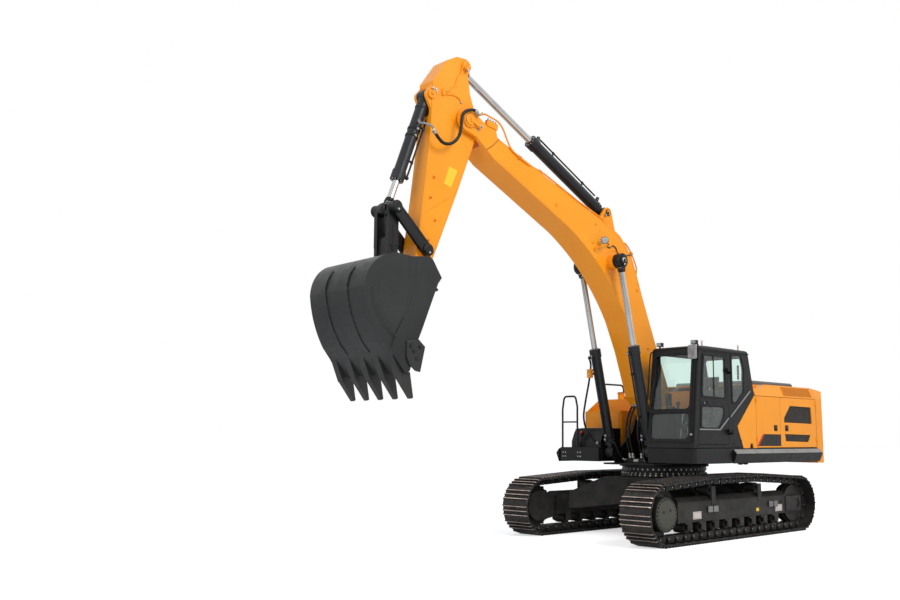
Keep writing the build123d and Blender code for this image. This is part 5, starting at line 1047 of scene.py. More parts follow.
def make_roof_fittings():
    """Small work lamps, lifting eyes and the mirror's arm on the cab's roof."""
    parts = Shape("roof_fittings", "house", "fitting_black", "plastic", "lens", "red", "steel", "black")
    for y in (0.625, 1.335):
        parts.slab((0.868, 0.892), (y - 0.012, y + 0.012), (ROOF_Z, 3.185), 4)
        parts.slab((0.845, 0.915), (y - 0.052, y + 0.052), (3.185, 3.25), 0)
        parts.slab((0.915, 0.922), (y - 0.046, y + 0.046), (3.19, 3.245), 1)
        for dz in (-0.016, 0.0, 0.016):
            parts.slab((0.84, 0.845), (y - 0.046, y + 0.046), (3.2155 + dz, 3.2195 + dz), 4)
        parts.tube(smooth_line([(0.86, y, 3.2), (0.8, y, 3.19), (0.78, y, 3.168), (0.6, y - 0.02, 3.175)]),
                   0.005, 6)
    for x in (0.76, -0.33):
        turned(parts, (x, 1.4, ROOF_Z), UP, [(0, 0.022), (0.008, 0.022), (0.01, 0.012)], 16, 3)
        parts.rod((x, 1.4, 3.16), (x, 1.4, 3.205), 0.01, 12, 2)
        ring = [(x + 0.022 * cos(pi * k / 8), 1.4, 3.226 + 0.022 * sin(pi * k / 8)) for k in range(17)]
        parts.tube(ring, 0.0065, 8, 3)
    arm = smooth_line([(0.905, 1.43, 3.165), (0.96, 1.43, 3.176), (1.03, 1.42, 3.165), (1.052, 1.4, 3.1),
                       (1.052, 1.395, 2.98)])
    parts.tube(arm, 0.012)
    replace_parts(parts.done(), "cab_fittings")


def make_mirror():
    """Mirror in its wrapping film."""
    mirror = Shape("mirror", "house", "fitting_black", "wrap")
    # housing in creased film: rounded block whose sections shrink and crumple a little
    loops = []
    outline = rounded(oblong((-0.084, 0.084), (-0.118, 0.118)), 0.035)
    for k, (x, scale) in enumerate(((1.032, 0.8), (1.04, 0.97), (1.056, 1.0), (1.07, 0.98), (1.078, 0.86))):
        loops.append(mirror.loop(
            at(x, 1.414 + u * scale * (1 + 0.03 * sin(7 * i + 2 * k)),
               3.04 + v * scale * (1 + 0.02 * sin(5 * i + k)))
            for i, (u, v) in enumerate(outline)
        ))
    mirror.skin(loops)
    # film's creases, and the knot that ties it
    for k in range(7):
        a = 0.9 * k
        mirror.tube(smooth_line([
            (1.08, 1.414 + 0.055 * cos(a), 3.1 - 0.02 * k), (1.083, 1.414 + 0.02 * sin(a), 3.06 - 0.02 * k),
            (1.08, 1.414 - 0.06 * cos(a + 0.5), 3.05 - 0.015 * k),
        ], 4), 0.0022, 5, 0)
    mirror.done()


def cushion(name, centre, up, out, width, height, depth, channels):
    """Padded form: crowned face, sides pulled in between corners, sewn channels and a piped seam.

    Its width lies along y. Each channel is (u or v, place from -1 to 1)."""
    pad = Shape(name, "house", "seat_fabric", "cloth")
    centre, right, up, out = Vector(centre), Vector((0, 1, 0)), Vector(up), Vector(out)
    columns, rows = 22, 26

    def skin(u, v, face):
        pull = 1 - 0.035 * (1 - v * v) * abs(u) ** 3
        rise = 1 - 0.03 * (1 - u * u) * abs(v) ** 3
        crown = ((1 - abs(u) ** 5) * (1 - abs(v) ** 5)) ** 0.45
        thick = depth / 2 * (crown if face > 0 else crown**0.6 * 0.92)
        if face > 0:
            for kind, place in channels:
                t = u if kind == "u" else v
                thick -= 0.016 * exp(-(((t - place) / 0.035) ** 2)) * crown
        return centre + right * u * pull * width / 2 + up * v * rise * height / 2 + out * face * thick

    def station(i, count):
        """Share from -1 to 1, closer together near both ends."""
        return sin(pi / 2 * (2 * i / count - 1))

    for face in (1, -1):
        grid = [
            pad.loop(at(*skin(station(k, columns), station(i, rows), face)) for k in range(columns + 1))
            for i in range(rows + 1)
        ]
        for one, two in zip(grid, grid[1:]):
            for k in range(columns):
                pad.mesh.faces.new((one[k], one[k + 1], two[k + 1], two[k])).smooth = True
    bmesh.ops.remove_doubles(pad.mesh, verts=pad.mesh.verts, dist=0.0005)
    piece = pad.done()
    seam = Shape(f"{name}_piping", "house", "seat_fabric", "seal")
    edge = []
    for k in range(65):
        c, s = cos(2 * pi * k / 64), sin(2 * pi * k / 64)
        reach = max(abs(c), abs(s)) ** 0.92
        u, v = (max(-0.995, min(0.995, value / reach)) for value in (c, s))
        edge.append(skin(u, v, 0.001))
    seam.tube(edge, 0.004, 6)
    seam.done()
    return piece


def make_seat():
    """Hard base, squab, backrest and headrest of the operator's seat."""
    base = Shape("seat_base", "house", "console_plastic", "plastic", "black", "steel")
    z = CAB_FLOOR

    def block(x, half, low, high, finish=0):
        base.slab(x, (SEAT_Y - half, SEAT_Y + half), (z + low, z + high), finish)

    block((0.03, 0.43), 0.2, 0.001, 0.06, 1)
    for i in range(5):
        fold = 0.008 * (i % 2)
        low = 0.06 + i * 0.032
        block((0.05 + fold, 0.41 - fold), 0.18, low, low + 0.03)
    block((0.02, 0.44), 0.22, 0.222, 0.262)
    for y in (SEAT_Y - 0.19, SEAT_Y + 0.19):
        base.tube([(-0.03, y, z + 0.3), (-0.06, y, z + 0.75)], 0.014, 8, 1)
    for y in (SEAT_Y - 0.05, SEAT_Y + 0.05):
        base.rod((-0.052, y, z + 0.93), (-0.062, y, z + 1.03), 0.007, 8, 2)
    lean = Vector((-0.1, 0, 0.56)).normalized()
    front = Vector((lean.z, 0, -lean.x))
    pieces = [
        base.done(),
        cushion("seat_squab", (0.245, SEAT_Y, z + 0.33), (1, 0, 0), UP, 0.48, 0.5, 0.135,
                (("u", -0.52), ("u", 0.52), ("v", 0.25))),
        cushion("seat_back", (0.012, SEAT_Y, z + 0.675), lean, front, 0.47, 0.54, 0.125,
                (("u", -0.55), ("u", 0.55), ("v", -0.35), ("v", 0.3))),
        cushion("seat_headrest", (-0.052, SEAT_Y, z + 1.075), lean, front, 0.29, 0.185, 0.095, ()),
    ]
    for piece in pieces:
        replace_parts(piece, "seat")


def make_controls():
    """Joysticks, switches, travel pedals and levers, and the escape hammer inside the cab."""
    parts = Shape("cab_controls", "house", "console_plastic", "plastic", "seal", "red", "steel", "pale")
    z = CAB_FLOOR
    for side in (1, -1):
        y = SEAT_Y + side * 0.345
        gaiter = [(0.0, 0.036), (0.012, 0.04), (0.02, 0.03), (0.032, 0.034), (0.04, 0.024), (0.052, 0.027),
                  (0.062, 0.014)]
        turned(parts, (0.455, y, z + 0.545), (0.04, 0, 1), gaiter, 18, 1)
        turned(parts, (0.458, y, z + 0.6), (0.1, 0, 1),
               [(0.0, 0.01), (0.03, 0.014), (0.07, 0.022), (0.1, 0.024), (0.115, 0.03), (0.128, 0.022)],
               16, 0)
        parts.bolt((0.471, y, z + 0.727), (0.1, 0, 1), 0.012, 0.006, 2)
        for k in range(4):
            parts.slab((0.1 + 0.05 * k, 0.13 + 0.05 * k), (y - 0.012, y + 0.012), (z + 0.54, z + 0.548), 4)
        y = SEAT_Y + side * 0.07
        parts.tube(smooth_line([(0.76, y, z + 0.02), (0.765, y, z + 0.25), (0.7, y, z + 0.52)]),
                   0.009, 8, 3)
        turned(parts, (0.7, y, z + 0.52), (-0.3, 0, 1),
               [(0, 0.01), (0.01, 0.019), (0.05, 0.021), (0.07, 0.01)], 14, 0)
        parts.prism([(0.74, y - 0.05, z + 0.05), (0.9, y - 0.05, z + 0.12), (0.9, y - 0.05, z + 0.135),
                     (0.74, y - 0.05, z + 0.065)], (0, 0.09, 0), 1)
        for k in range(5):
            x = 0.765 + 0.028 * k
            parts.slab((x, x + 0.008), (y - 0.045, y + 0.035),
                       (z + 0.068 + 0.0123 * k, z + 0.084 + 0.0123 * k), 1)
    # lever with a red grip, and the escape hammer on the rear window's frame
    parts.tube(smooth_line([(0.19, 1.405, z + 0.38), (0.2, 1.405, z + 0.5), (0.215, 1.4, z + 0.6)]), 0.008,
               8, 2)
    for low, high, finish in ((2.66, 2.72, 2), (2.72, 2.75, 4), (2.75, 2.82, 2), (2.82, 2.86, 4),
                              (2.86, 2.91, 2)):
        parts.rod((-0.46, 1.3, low), (-0.46, 1.3, high), 0.018, 12, finish)
    parts.done()


make_cab_trim()
make_door_trim()
make_roof_fittings()
make_mirror()
make_seat()
make_controls()


# ---------------------------------------------------------------- boom
BOOM_SIDE_Y = 0.24
PIPE_RADIUS = 0.014
BOOM_TOP = ((0.46, 3.185), (0.96, 4.33), (1.1, 4.64), (1.23, 4.845), (1.42, 5.045), (1.64, 5.19),
            (1.9, 5.29), (2.484, 5.477), (3.49, 5.85), (4.313, 6.151))
BOOM_LOW = ((1.055, 3.144), (1.3, 3.65), (1.545, 4.035), (1.86, 4.36), (2.26, 4.7), (2.75, 5.03),
            (4.434, 5.822))


def seam_line(shape, line, y, width=0.012, height=0.004, finish=0):
    """Weld seam along (x, z) points on a side plate that faces along y's sign."""
    side = 1 if y > 0 else -1
    for a, b in zip(line, line[1:]):
        run = Vector((b[0] - a[0], b[1] - a[1])).normalized() * width / 2
        out = Vector((-run.y, run.x))
        corners = [(a[0] - out.x, y, a[1] - out.y), (b[0] - out.x, y, b[1] - out.y),
                   (b[0], y + side * height, b[1]), (a[0], y + side * height, a[1])]
        far = [(a[0] + out.x, y, a[1] + out.y), (b[0] + out.x, y, b[1] + out.y)]
        for quad in (corners, [corners[3], corners[2], far[1], far[0]]):
            shape.face(quad, finish)


def clamp_block(shape, place, way, size=0.03):
    """Pipe clamp: a split block round the line with a bolt on it."""
    a = Vector(way).normalized() * size
    x, y, z = place
    shape.rod((x - a.x, y, z - a.z), (x + a.x, y, z + a.z), size * 0.95, 8)
    shape.bolt((x, y + size * 0.8, z), (0, 1, 0), 0.02, 0.014, 1)


def pin_cap(shape, centre, side, radius, y, keeper, finish=0, bolt_finish=2):
    """Pin's end plate with its keeper bolt."""
    turned(shape, (centre[0], side * y, centre[1]), (0, side, 0),
           [(FLUSH, radius), (0.012, radius), (0.018, radius * 0.92), (0.018, radius * 0.45),
            (0.014, radius * 0.42)], 32, finish)
    reach = Vector((keeper[0] - centre[0], keeper[1] - centre[1]))
    across = Vector((-reach.y, reach.x)).normalized() * 0.024
    outline = [(centre[0] - across.x, centre[1] - across.y), (keeper[0] - across.x, keeper[1] - across.y),
               (keeper[0] + across.x, keeper[1] + across.y), (centre[0] + across.x, centre[1] + across.y)]
    shape.side_plate(outline, side * (y + 0.018), side * 0.01, finish)
    shape.bolt((keeper[0], side * (y + 0.026), keeper[1]), (0, side, 0), 0.034, 0.018, bolt_finish)


def make_boom_plates():
    """Weld seams, small bosses, reinforcing rings and pin caps on both sides of the boom."""
    parts = Shape("boom_plates", "boom_body", "body_yellow", "yellow", "yellow_dark", "steel", "black")
    for side in (1, -1):
        y = side * BOOM_SIDE_Y
        top = [(x + 0.01, z - 0.022) for x, z in BOOM_TOP]
        seam_line(parts, top, y)
        seam_line(parts, [(x - 0.004, z + 0.024) for x, z in BOOM_LOW], y)
        for line in (((1.94, 5.13), (2.36, 4.82)), ((1.965, 5.155), (2.385, 4.845)),
                     ((1.23, 4.2), (1.07, 4.32), (0.93, 4.27)), ((4.3, 6.13), (4.44, 5.84)),
                     ((0.93, 2.83), (0.4, 2.98))):
            seam_line(parts, line, y, 0.01, 0.003)
        turns = [2 * pi * k / 40 for k in range(41)]
        weld = [(1.62 + 0.245 * cos(turn), 4.56 + 0.245 * sin(turn)) for turn in turns]
        seam_line(parts, weld, y, 0.014, 0.005)
        for x, z in ((2.09, 5.21), (1.0, 4.2), (2.17, 4.88), (3.05, 5.36), (0.72, 3.2)):
            turned(parts, (x, y, z), (0, side, 0), [(0.0, 0.03), (0.008, 0.03), (0.01, 0.026)], 20, 0)
            parts.bolt((x, y + side * 0.009, z), (0, side, 0), 0.022, 0.01, 0)
        # tip: boss ring, pin cap and keeper
        parts.ring((ARM_PIN[0], side * 0.264, ARM_PIN[1]), (0, side, 0), 0.112, 0.094, 0.006, 36, 0)
        pin_cap(parts, ARM_PIN, side, 0.088, 0.264, (4.735, 6.245))
        for x, z in ((4.72, 6.285), (4.76, 6.205)):
            parts.bolt((x, y, z), (0, side, 0), 0.03, 0.016, 2)
        # arm cylinder's foot: cap and keeper on the ear
        pin_cap(parts, ARM_CYLINDER[0], side, 0.06, 0.13, (1.725, 5.435), 3)
    parts.done()


def make_boom_lines():
    """Painted pipes along the boom's back, with clamps, and the valve block and pipes at its tip."""
    parts = Shape("boom_lines", "boom_body", "body_yellow", "yellow", "steel", "black", "yellow_dark")
    outer = ((0.52, 3.29), (0.96, 4.411), (1.085, 4.706), (1.24, 4.921), (1.43, 5.101), (1.9, 5.341),
             (2.484, 5.526), (3.3, 5.831), (3.49, 5.872), (3.62, 5.88))
    inner = ((0.52, 3.29), (0.955, 4.416), (1.075, 4.716), (1.23, 4.931), (1.425, 5.108), (1.9, 5.344),
             (2.484, 5.528), (3.0, 5.721))
    for y, run in ((0.205, outer), (0.165, inner), (-0.205, outer)):
        parts.tube([(x, y, z) for x, z in run], PIPE_RADIUS)
    # pipe that bows clear of the back, with its clip
    bow = smooth_line([(1.3, 0.1, 4.985), (1.18, 0.1, 5.04), (1.06, 0.1, 4.975), (0.96, 0.1, 4.85),
                       (0.87, 0.1, 4.71), (0.835, 0.1, 4.59), (0.88, 0.1, 4.33), (0.86, 0.1, 4.18)])
    parts.tube(bow, 0.013)
    parts.slab((0.965, 1.12), (0.085, 0.115), (4.8, 4.83), 0)
    for x, y, z, way in ((0.74, 0.185, 3.86, (0.37, 0, 0.93)), (1.16, 0.185, 4.81, (0.5, 0, 0.8)),
                         (1.66, 0.185, 5.215, (0.8, 0, 0.5)), (2.2, 0.185, 5.418, (0.95, 0, 0.3)),
                         (2.82, 0.185, 5.635, (0.94, 0, 0.34)), (3.4, 0.205, 5.848, (0.94, 0, 0.34)),
                         (0.98, 0.1, 4.87, (0.5, 0, 0.8)), (3.9, 0.256, 5.96, (0.94, 0, 0.34))):
        clamp_block(parts, (x, y, z), way)
    # valve block with its four fittings, and the pipes at the tip
    block = [(4.58, 6.41), (4.36, 6.38), (4.37, 6.29), (4.59, 6.32)]
    parts.side_plate(block, 0.19, 0.055, 0)
    parts.side_plate([(4.56, 6.325), (4.39, 6.3), (4.36, 6.18), (4.56, 6.25)], 0.2, 0.03, 0)
    for i in range(4):
        x, z = between((4.395, 6.388), (4.55, 6.41), i / 3)
        turned(parts, (x, 0.218, z), (-0.13, 0, 0.99),
               [(0.0, 0.017), (0.014, 0.017), (0.018, 0.012), (0.034, 0.012)], 12, 1)
    tip = smooth_line([(4.7, 0.25, 6.47), (4.64, 0.258, 6.475), (4.55, 0.264, 6.455), (4.38, 0.262, 6.42),
                       (4.27, 0.26, 6.33), (4.18, 0.258, 6.18), (4.08, 0.256, 6.05), (3.9, 0.256, 5.96),
                       (3.7, 0.25, 5.89), (3.56, 0.215, 5.882), (3.45, 0.206, 5.862)])
    parts.tube(tip, PIPE_RADIUS)
    turned(parts, (4.7, 0.25, 6.47), (-0.9, 0, 0.1),
           [(0.0, 0.021), (0.03, 0.021), (0.034, 0.016), (0.05, 0.016)], 12, 1)
    seam_line(parts, [(4.33, 6.16), (4.48, 6.01), (4.6, 5.93)], BOOM_SIDE_Y, 0.022, 0.004, 3)
    # fitting that the loop to the arm's pipe starts from
    turned(parts, (4.79, 0.29, 6.42), (1, 0, 0.25),
           [(0.0, 0.026), (0.03, 0.026), (0.032, 0.02), (0.06, 0.02)], 14, 1)
    parts.tube([(4.69, 0.25, 6.47), (4.74, 0.262, 6.44), (4.795, 0.29, 6.421)], 0.018)
    parts.done()


def make_boom_lamp():
    """Work lamp on its bracket, its cable, and the dark cap on each boom-cylinder pin."""
    parts = Shape("boom_lamp", "boom_body", "fitting_black", "plastic", "lens", "hose", "steel", "black",
                  "pale", "yellow")
    parts.prism([(2.15, 0.24, 4.755), (2.11, 0.24, 4.8), (2.11, 0.33, 4.8), (2.15, 0.33, 4.755)],
                (0, 0, 0.008), 6)
    parts.tube([(2.13, 0.244, 4.78), (2.12, 0.3, 4.785), (2.06, 0.35, 4.81), (1.99, 0.355, 4.86)],
               0.01, 8, 6)
    turned(parts, (1.96, 0.325, 4.925), (0.7, 0.6, -0.15),
           [(0.0, 0.03), (0.012, 0.052), (0.05, 0.064), (0.068, 0.066)], 24, 0)
    turned(parts, (2.0108, 0.3686, 4.9141), (0.7, 0.6, -0.15),
           [(0.0, 0.06), (0.008, 0.054), (0.011, 0.03)], 24, 1)
    cable = smooth_line([(1.955, 0.35, 4.89), (1.84, 0.3, 4.89), (1.8, 0.256, 4.85), (1.73, 0.252, 4.85),
                         (1.66, 0.252, 4.89), (1.58, 0.252, 4.86), (1.55, 0.252, 4.8), (1.48, 0.252, 4.76),
                         (1.33, 0.252, 4.77), (1.16, 0.252, 4.8)])
    parts.tube(cable, 0.008, 8, 2)
    for x, z in ((1.73, 4.85), (1.33, 4.77)):
        parts.slab((x - 0.01, x + 0.01), (BOOM_SIDE_Y, 0.264), (z - 0.012, z + 0.012), 3)
    x, z = BOOM_CYLINDER[1]
    for side in (1, -1):
        # cylinder eye's dark shield, its pin's face and keeper bolt
        turned(parts, (x, side * 0.5155, z), (0, side, 0), [(0.0, 0.082), (0.014, 0.082), (0.02, 0.07)],
               28, 4)
        turned(parts, (x, side * 0.5355, z), (0, side, 0), [(0.0, 0.048), (0.006, 0.048), (0.007, 0.03)],
               24, 3)
        parts.side_plate([(x - 0.03, z + 0.02), (x + 0.03, z + 0.02), (x + 0.03, z - 0.085),
                          (x - 0.03, z - 0.085)], side * 0.5355, side * 0.008, 4)
        parts.bolt((x, side * 0.5435, z - 0.068), (0, side, 0), 0.024, 0.012, 5)
    parts.done()


# ---------------------------------------------------------------- arm
ARM_SIDE_Y = 0.155


def make_arm_plates():
    """Weld ridges, bosses, blank plate, grease lines and pin caps on the arm."""
    parts = Shape("arm_plates", "arm_body", "body_yellow", "yellow", "yellow_dark", "steel", "red",
                  "plate_yellow")
    for side in (1, -1):
        y = side * ARM_SIDE_Y
        for line in (((5.43, 6.75), (5.51, 6.26)), ((5.44, 6.47), (5.12, 6.19), (4.91, 5.9)),
                     ((5.66, 4.8), (5.15, 5.13)), ((4.9, 6.95), (4.87, 6.76), (4.71, 6.34)),
                     ((4.79, 6.02), (5.09, 5.24), (5.52, 4.17)),
                     ((5.57, 6.78), (5.575, 6.1), (5.632, 5.48), (5.72, 4.74), (5.78, 4.24))):
            seam_line(parts, line, y, 0.012, 0.004)
        for x, z in ((5.53, 5.33), (5.58, 5.02), (5.49, 4.7), (5.61, 4.39)):
            turned(parts, (x, y, z), (0, side, 0), [(0.0, 0.026), (0.01, 0.026), (0.012, 0.02)], 18, 0)
            turned(parts, (x, y + side * 0.012, z), (0, side, 0),
                   [(0.0, 0.012), (0.006, 0.012), (0.009, 0.006)], 12, 3)
        corners = [(5.24, 5.55), (5.08, 5.52), (5.2, 5.24), (5.34, 5.27)]
        panel(parts, lambda u, v, lift: (u, y + side * lift, v), corners, 0.012, FLUSH, 0.002, 4)
        # pins of the arm cylinder's eye and the bucket cylinder's foot
        pin_cap(parts, ARM_CYLINDER[1], side, 0.066, 0.181, (4.955, 7.095))
        pin_cap(parts, BUCKET_CYLINDER[0], side, 0.064, 0.155, (5.545, 6.64))
        parts.bolt((5.5, side * 0.155, 6.62), (0, side, 0), 0.028, 0.014, 2)
        parts.bolt((5.575, side * 0.155, 6.66), (0, side, 0), 0.028, 0.014, 2)
    y = ARM_SIDE_Y + 0.01
    first = [(4.92, 0.196, 7.21), (5.03, 0.19, 7.14), (5.06, 0.172, 7.03), (5.12, y, 6.95),
             (5.16, y, 6.82), (5.22, y, 6.76), (5.26, y, 6.7), (5.34, y, 6.67), (5.38, y, 6.67)]
    second = [(5.38, y, 6.62), (5.26, y, 6.64), (5.16, y, 6.65), (5.07, y, 6.62), (5.04, y, 6.58)]
    for line in (first, second):
        parts.tube(smooth_line(line), 0.007, 8)
        end = line[-1]
        turned(parts, (end[0], ARM_SIDE_Y, end[2]), (0, 1, 0),
               [(0.0, 0.018), (0.014, 0.018), (0.02, 0.01)], 12, 2)
    parts.slab((5.36, 5.41), (ARM_SIDE_Y, ARM_SIDE_Y + 0.026), (6.6, 6.69), 0)
    parts.done()


# ---------------------------------------------------------------- cylinders
def along(start, end, distance, offset=0.0, y=0.0):
    """Point at a distance from a cylinder's foot pin, moved sideways in the XZ plane by offset."""
    run = Vector((end[0] - start[0], end[1] - start[1])).normalized()
    side = Vector((run.y, -run.x))
    place = Vector(start) + run * distance + side * offset
    return (place.x, y, place.y)


def dress_cylinder(name, body, line, y, radius, gland, port_side, tube_y=0.0, bands=()):
    """Gland ring with bolts, barrel bands, end ring, port blocks and the pipe along a barrel."""
    parts = Shape(name, body, "barrel_grey", "barrel", "black", "steel")
    foot, eye = line
    axis = (eye[0] - foot[0], 0, eye[1] - foot[1])

    def on_line(distance, offset=0.0, shift=0.0):
        return along(foot, eye, distance, offset, y + shift)

    def collar(distance, profile, finish=0, sides=36):
        turned(parts, on_line(distance), axis, [(reach, radius + rise) for reach, rise in profile],
               sides, finish)

    collar(gland - 0.045, ((0.0, FLUSH), (0.004, 0.014), (0.04, 0.014), (0.046, 0.0105)))
    bolt_circle(parts, on_line(gland + FLUSH), axis, radius * 0.8, 10, 0.022, 0.012, 2)
    turned(parts, on_line(gland), axis, [(0.0, radius * 0.7), (0.016, radius * 0.68)], 32, 1)
    collar(0.19, ((0.0, FLUSH), (0.006, 0.008), (0.034, 0.008), (0.04, FLUSH)))
    for place in bands:
        collar(place, ((0.0, FLUSH), (0.002, 0.009), (0.04, 0.009), (0.042, FLUSH)), 1)
        x, _, z = on_line(place + 0.021)
        for side in (1, -1):
            parts.bolt((x, y + side * (radius + 0.008), z), (0, side, 0), 0.024, 0.014, 2)

    def beside(distance, rise):
        """Place beside the barrel on the port's side, by a height over its skin."""
        return on_line(distance, port_side * (radius + rise), tube_y)

    # port blocks near both ends, joined by the steel pipe that stands off the barrel
    stand = 0.04
    for place in (0.26, gland - 0.1):
        parts.rod(beside(place, -0.01), beside(place, 0.055), 0.03, 8)
        parts.rod(beside(place, 0.055), beside(place, 0.066), 0.02, 6, 2)
    pipe = [beside(gland - 0.1, 0.03)]
    pipe += [beside(place, stand) for place in (gland - 0.16, gland * 0.5, 0.34)]
    parts.tube(pipe, PIPE_RADIUS, finish=1)
    for place in (gland * 0.35, gland * 0.75):
        parts.rod(beside(place, -0.004), beside(place, stand), 0.016, 8, 1)
        parts.rod(beside(place - 0.02, stand), beside(place + 0.02, stand), 0.021, 8, 1)
    parts.done()


def dress_rod_eye(name, body, line, y_range, radius, rod_radius):
    """Painted eye on a rod's end, with the collar that it is welded to."""
    parts = Shape(name, body, "barrel_grey", "black")
    foot, eye = line
    low, high = y_range
    width = high - low
    turned(parts, (eye[0], low, eye[1]), (0, 1, 0),
           [(0.0, radius - 0.004), (0.004, radius + 0.002), (width - 0.004, radius + 0.002),
            (width, radius - 0.004)], 36)
    run = (eye[0] - foot[0], eye[1] - foot[1])
    start = along(foot, eye, hypot(*run) - radius - 0.075, 0, (low + high) / 2)
    turned(parts, start, (run[0], 0, run[1]), [(0.0, rod_radius + 0.001), (0.008, rod_radius + 0.012),
                                               (0.075, rod_radius + 0.022)], 28)
    parts.done()


def make_cylinder_details():
    """All four cylinders' dressings, their rods' eyes and the foot pins' plugs."""
    eyes = (
        ("boom_rod_eye_left", "boom_rods", BOOM_CYLINDER, (0.371, 0.5152), 0.12, 0.05),
        ("boom_rod_eye_right", "boom_rods", BOOM_CYLINDER, (-0.5152, -0.371), 0.12, 0.05),
        ("arm_rod_eye", "arm_rod_body", ARM_CYLINDER, (-0.079, 0.079), 0.108, 0.055),
        ("bucket_rod_eye", "bucket_rod_body", BUCKET_CYLINDER, (-0.084, 0.084), 0.098, 0.05),
    )
    for eye in eyes:
        dress_rod_eye(*eye)
    x, z = BOOM_CYLINDER[0]
    for side, name in SIDE_NAMES.items():
        dress_cylinder(f"boom_cylinder_{name}", "boom_barrels", BOOM_CYLINDER, side * 0.435, 0.088, 1.83,
                       1, -side * 0.03)
        plug = Shape(f"cylinder_plug_{name}", "house", "deck_black", "black", "red", "steel")
        turned(plug, (x, side * 0.511, z), (0, side, 0), [(0.0, 0.062), (0.008, 0.06), (0.01, 0.04)], 28)
        turned(plug, (x, side * 0.521, z), (0, side, 0), [(0.0, 0.014), (0.008, 0.012)], 14, 1)
        plug.bolt((x + 0.035, side * 0.52, z + 0.03), (0, side, 0), 0.02, 0.01, 2)
        plug.done()
    dress_cylinder("arm_cylinder", "arm_barrel_body", ARM_CYLINDER, 0.0, 0.098, 2.0, -1, 0.04)
    dress_cylinder("bucket_cylinder", "bucket_barrel_body", BUCKET_CYLINDER, 0.0, 0.086, 1.434, 1, 0.03,
                   (0.565, 0.68))


make_boom_plates()
make_boom_lines()
make_boom_lamp()
make_arm_plates()
make_cylinder_details()


# ---------------------------------------------------------------- hoses that cross a joint
FOOT_HOSE_Y = (-0.165, -0.095, 0.095, 0.165)


def hose(name, slot, route, radius, first, start, finish="hose"):
    """Pressure hose with fittings at both ends, whose route runs between two bodies that one joint joins; it
    is baked where it lies and rides on no body.
    """
    shape = Shape(name, first, slot, finish, "steel")
    line = smooth_line(route, 8)
    shape.tube(line, radius, 12)
    for tip, inner in ((line[0], line[3]), (line[-1], line[-4])):
        toward = (Vector(inner) - Vector(tip)).normalized()
        a, b = Vector(tip), Vector(tip) + toward * 0.05
        shape.rod(tuple(a), tuple(b), radius * 1.25, 12, 1)
        shape.rod(tuple(a), tuple(a + toward * 0.022), radius * 1.5, 6, 1)
    piece = shape.done(ride=False)
    tuple(at(*start))
    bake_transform(piece)
    return piece


def make_arm_hoses():
    """Loop from the boom's tip to the arm, and the elbow on to the bucket cylinder."""
    loop = [(4.84, 6.435), (4.9, 6.46), (4.99, 6.44), (5.09, 6.38), (5.14, 6.26), (5.15, 6.13),
            (5.19, 5.99), (5.27, 5.89), (5.37, 5.83), (5.48, 5.82), (5.58, 5.88), (5.655, 5.96)]
    hose("arm_loop_hose", "fitting_black", [(x, 0.3, z) for x, z in loop], 0.024, "boom_body",
         (5.0, 0.3, 6.42))
    elbow = [(5.64, 0.3, 5.945), (5.7, 0.3, 6.02), (5.78, 0.25, 6.05), (5.8, 0.15, 6.08),
             (5.745, 0.06, 6.15)]
    hose("bucket_cylinder_elbow", "fitting_black", elbow, 0.016, "arm_body",
         (5.72, 0.29, 6.03), finish="grey_and_painted_highlight")


def make_foot_hoses():
    """Hoses from the fittings on the centre section up to the boom's own pipes."""
    for y in FOOT_HOSE_Y:
        route = [(0.754, y, 1.335), (0.8, y, 1.49), (0.85, y, 1.66), (0.85, y, 1.85), (0.8, y, 2.02),
                 (0.72, y, 2.14), (0.645, y, 2.225)]
        name = f"boom_foot_hose_{'right' if y < 0 else 'left'}_{round(abs(y) * 1000)}"
        hose(name, "fitting_black", route, 0.019, "house", (0.8, y, 1.49))


def make_cylinder_hoses():
    """Hoses to the boom cylinders' pipes, and the yellow rupture valve on the right one."""
    for side, name in SIDE_NAMES.items():
        stations = ((0.34, 0.128, 0.405), (0.28, 0.118, 0.385), (0.23, 0.1, 0.335), (0.19, 0.07, 0.285))
        route = [along(*BOOM_CYLINDER, far, off, side * aside) for far, off, aside in stations]
        route += [(1.02, side * 0.257, 1.5), (0.97, side * 0.257, 1.42), (0.9, side * 0.25, 1.32),
                  (0.83, side * 0.225, 1.262)]
        hose(f"boom_cylinder_hose_{name}", "fitting_black", route, 0.013, "boom_barrels",
             route[3])
    # tall bowed hose outside the right cylinder, with its valve
    top = along(*BOOM_CYLINDER, 1.7, 0.08, -0.528)
    route = [top, (1.33, -0.56, 2.9), (1.335, -0.6, 2.62), (1.38, -0.65, 2.25), (1.39, -0.68, 2.0),
             (1.33, -0.67, 1.78), (1.2, -0.64, 1.62), (1.1, -0.6, 1.54)]
    hose("right_cylinder_long_hose", "fitting_black", route, 0.017, "boom_barrels",
         (1.38, -0.65, 2.25))
    valve = Shape("rupture_valve", "boom_barrels", "barrel_grey", "yellow", "steel", "black")
    block = along(*BOOM_CYLINDER, 1.44, 0.11, -0.51)
    valve.rod(along(*BOOM_CYLINDER, 1.7, 0.062, -0.5), Vector(top) + Vector((0.01, -0.01, 0)), 0.026, 10, 2)
    valve.slab((block[0] - 0.03, block[0] + 0.05), (-0.565, -0.49), (block[2] - 0.09, block[2] + 0.06), 0)
    valve.rod((block[0] - 0.1, -0.5, block[2] - 0.02), (block[0] - 0.02, -0.52, block[2] - 0.02), 0.02, 10, 2)
    for dz in (-0.05, 0.02):
        valve.bolt((block[0] + 0.05, -0.527, block[2] + dz), (1, 0, 0), 0.03, 0.02, 1)
    valve.done()


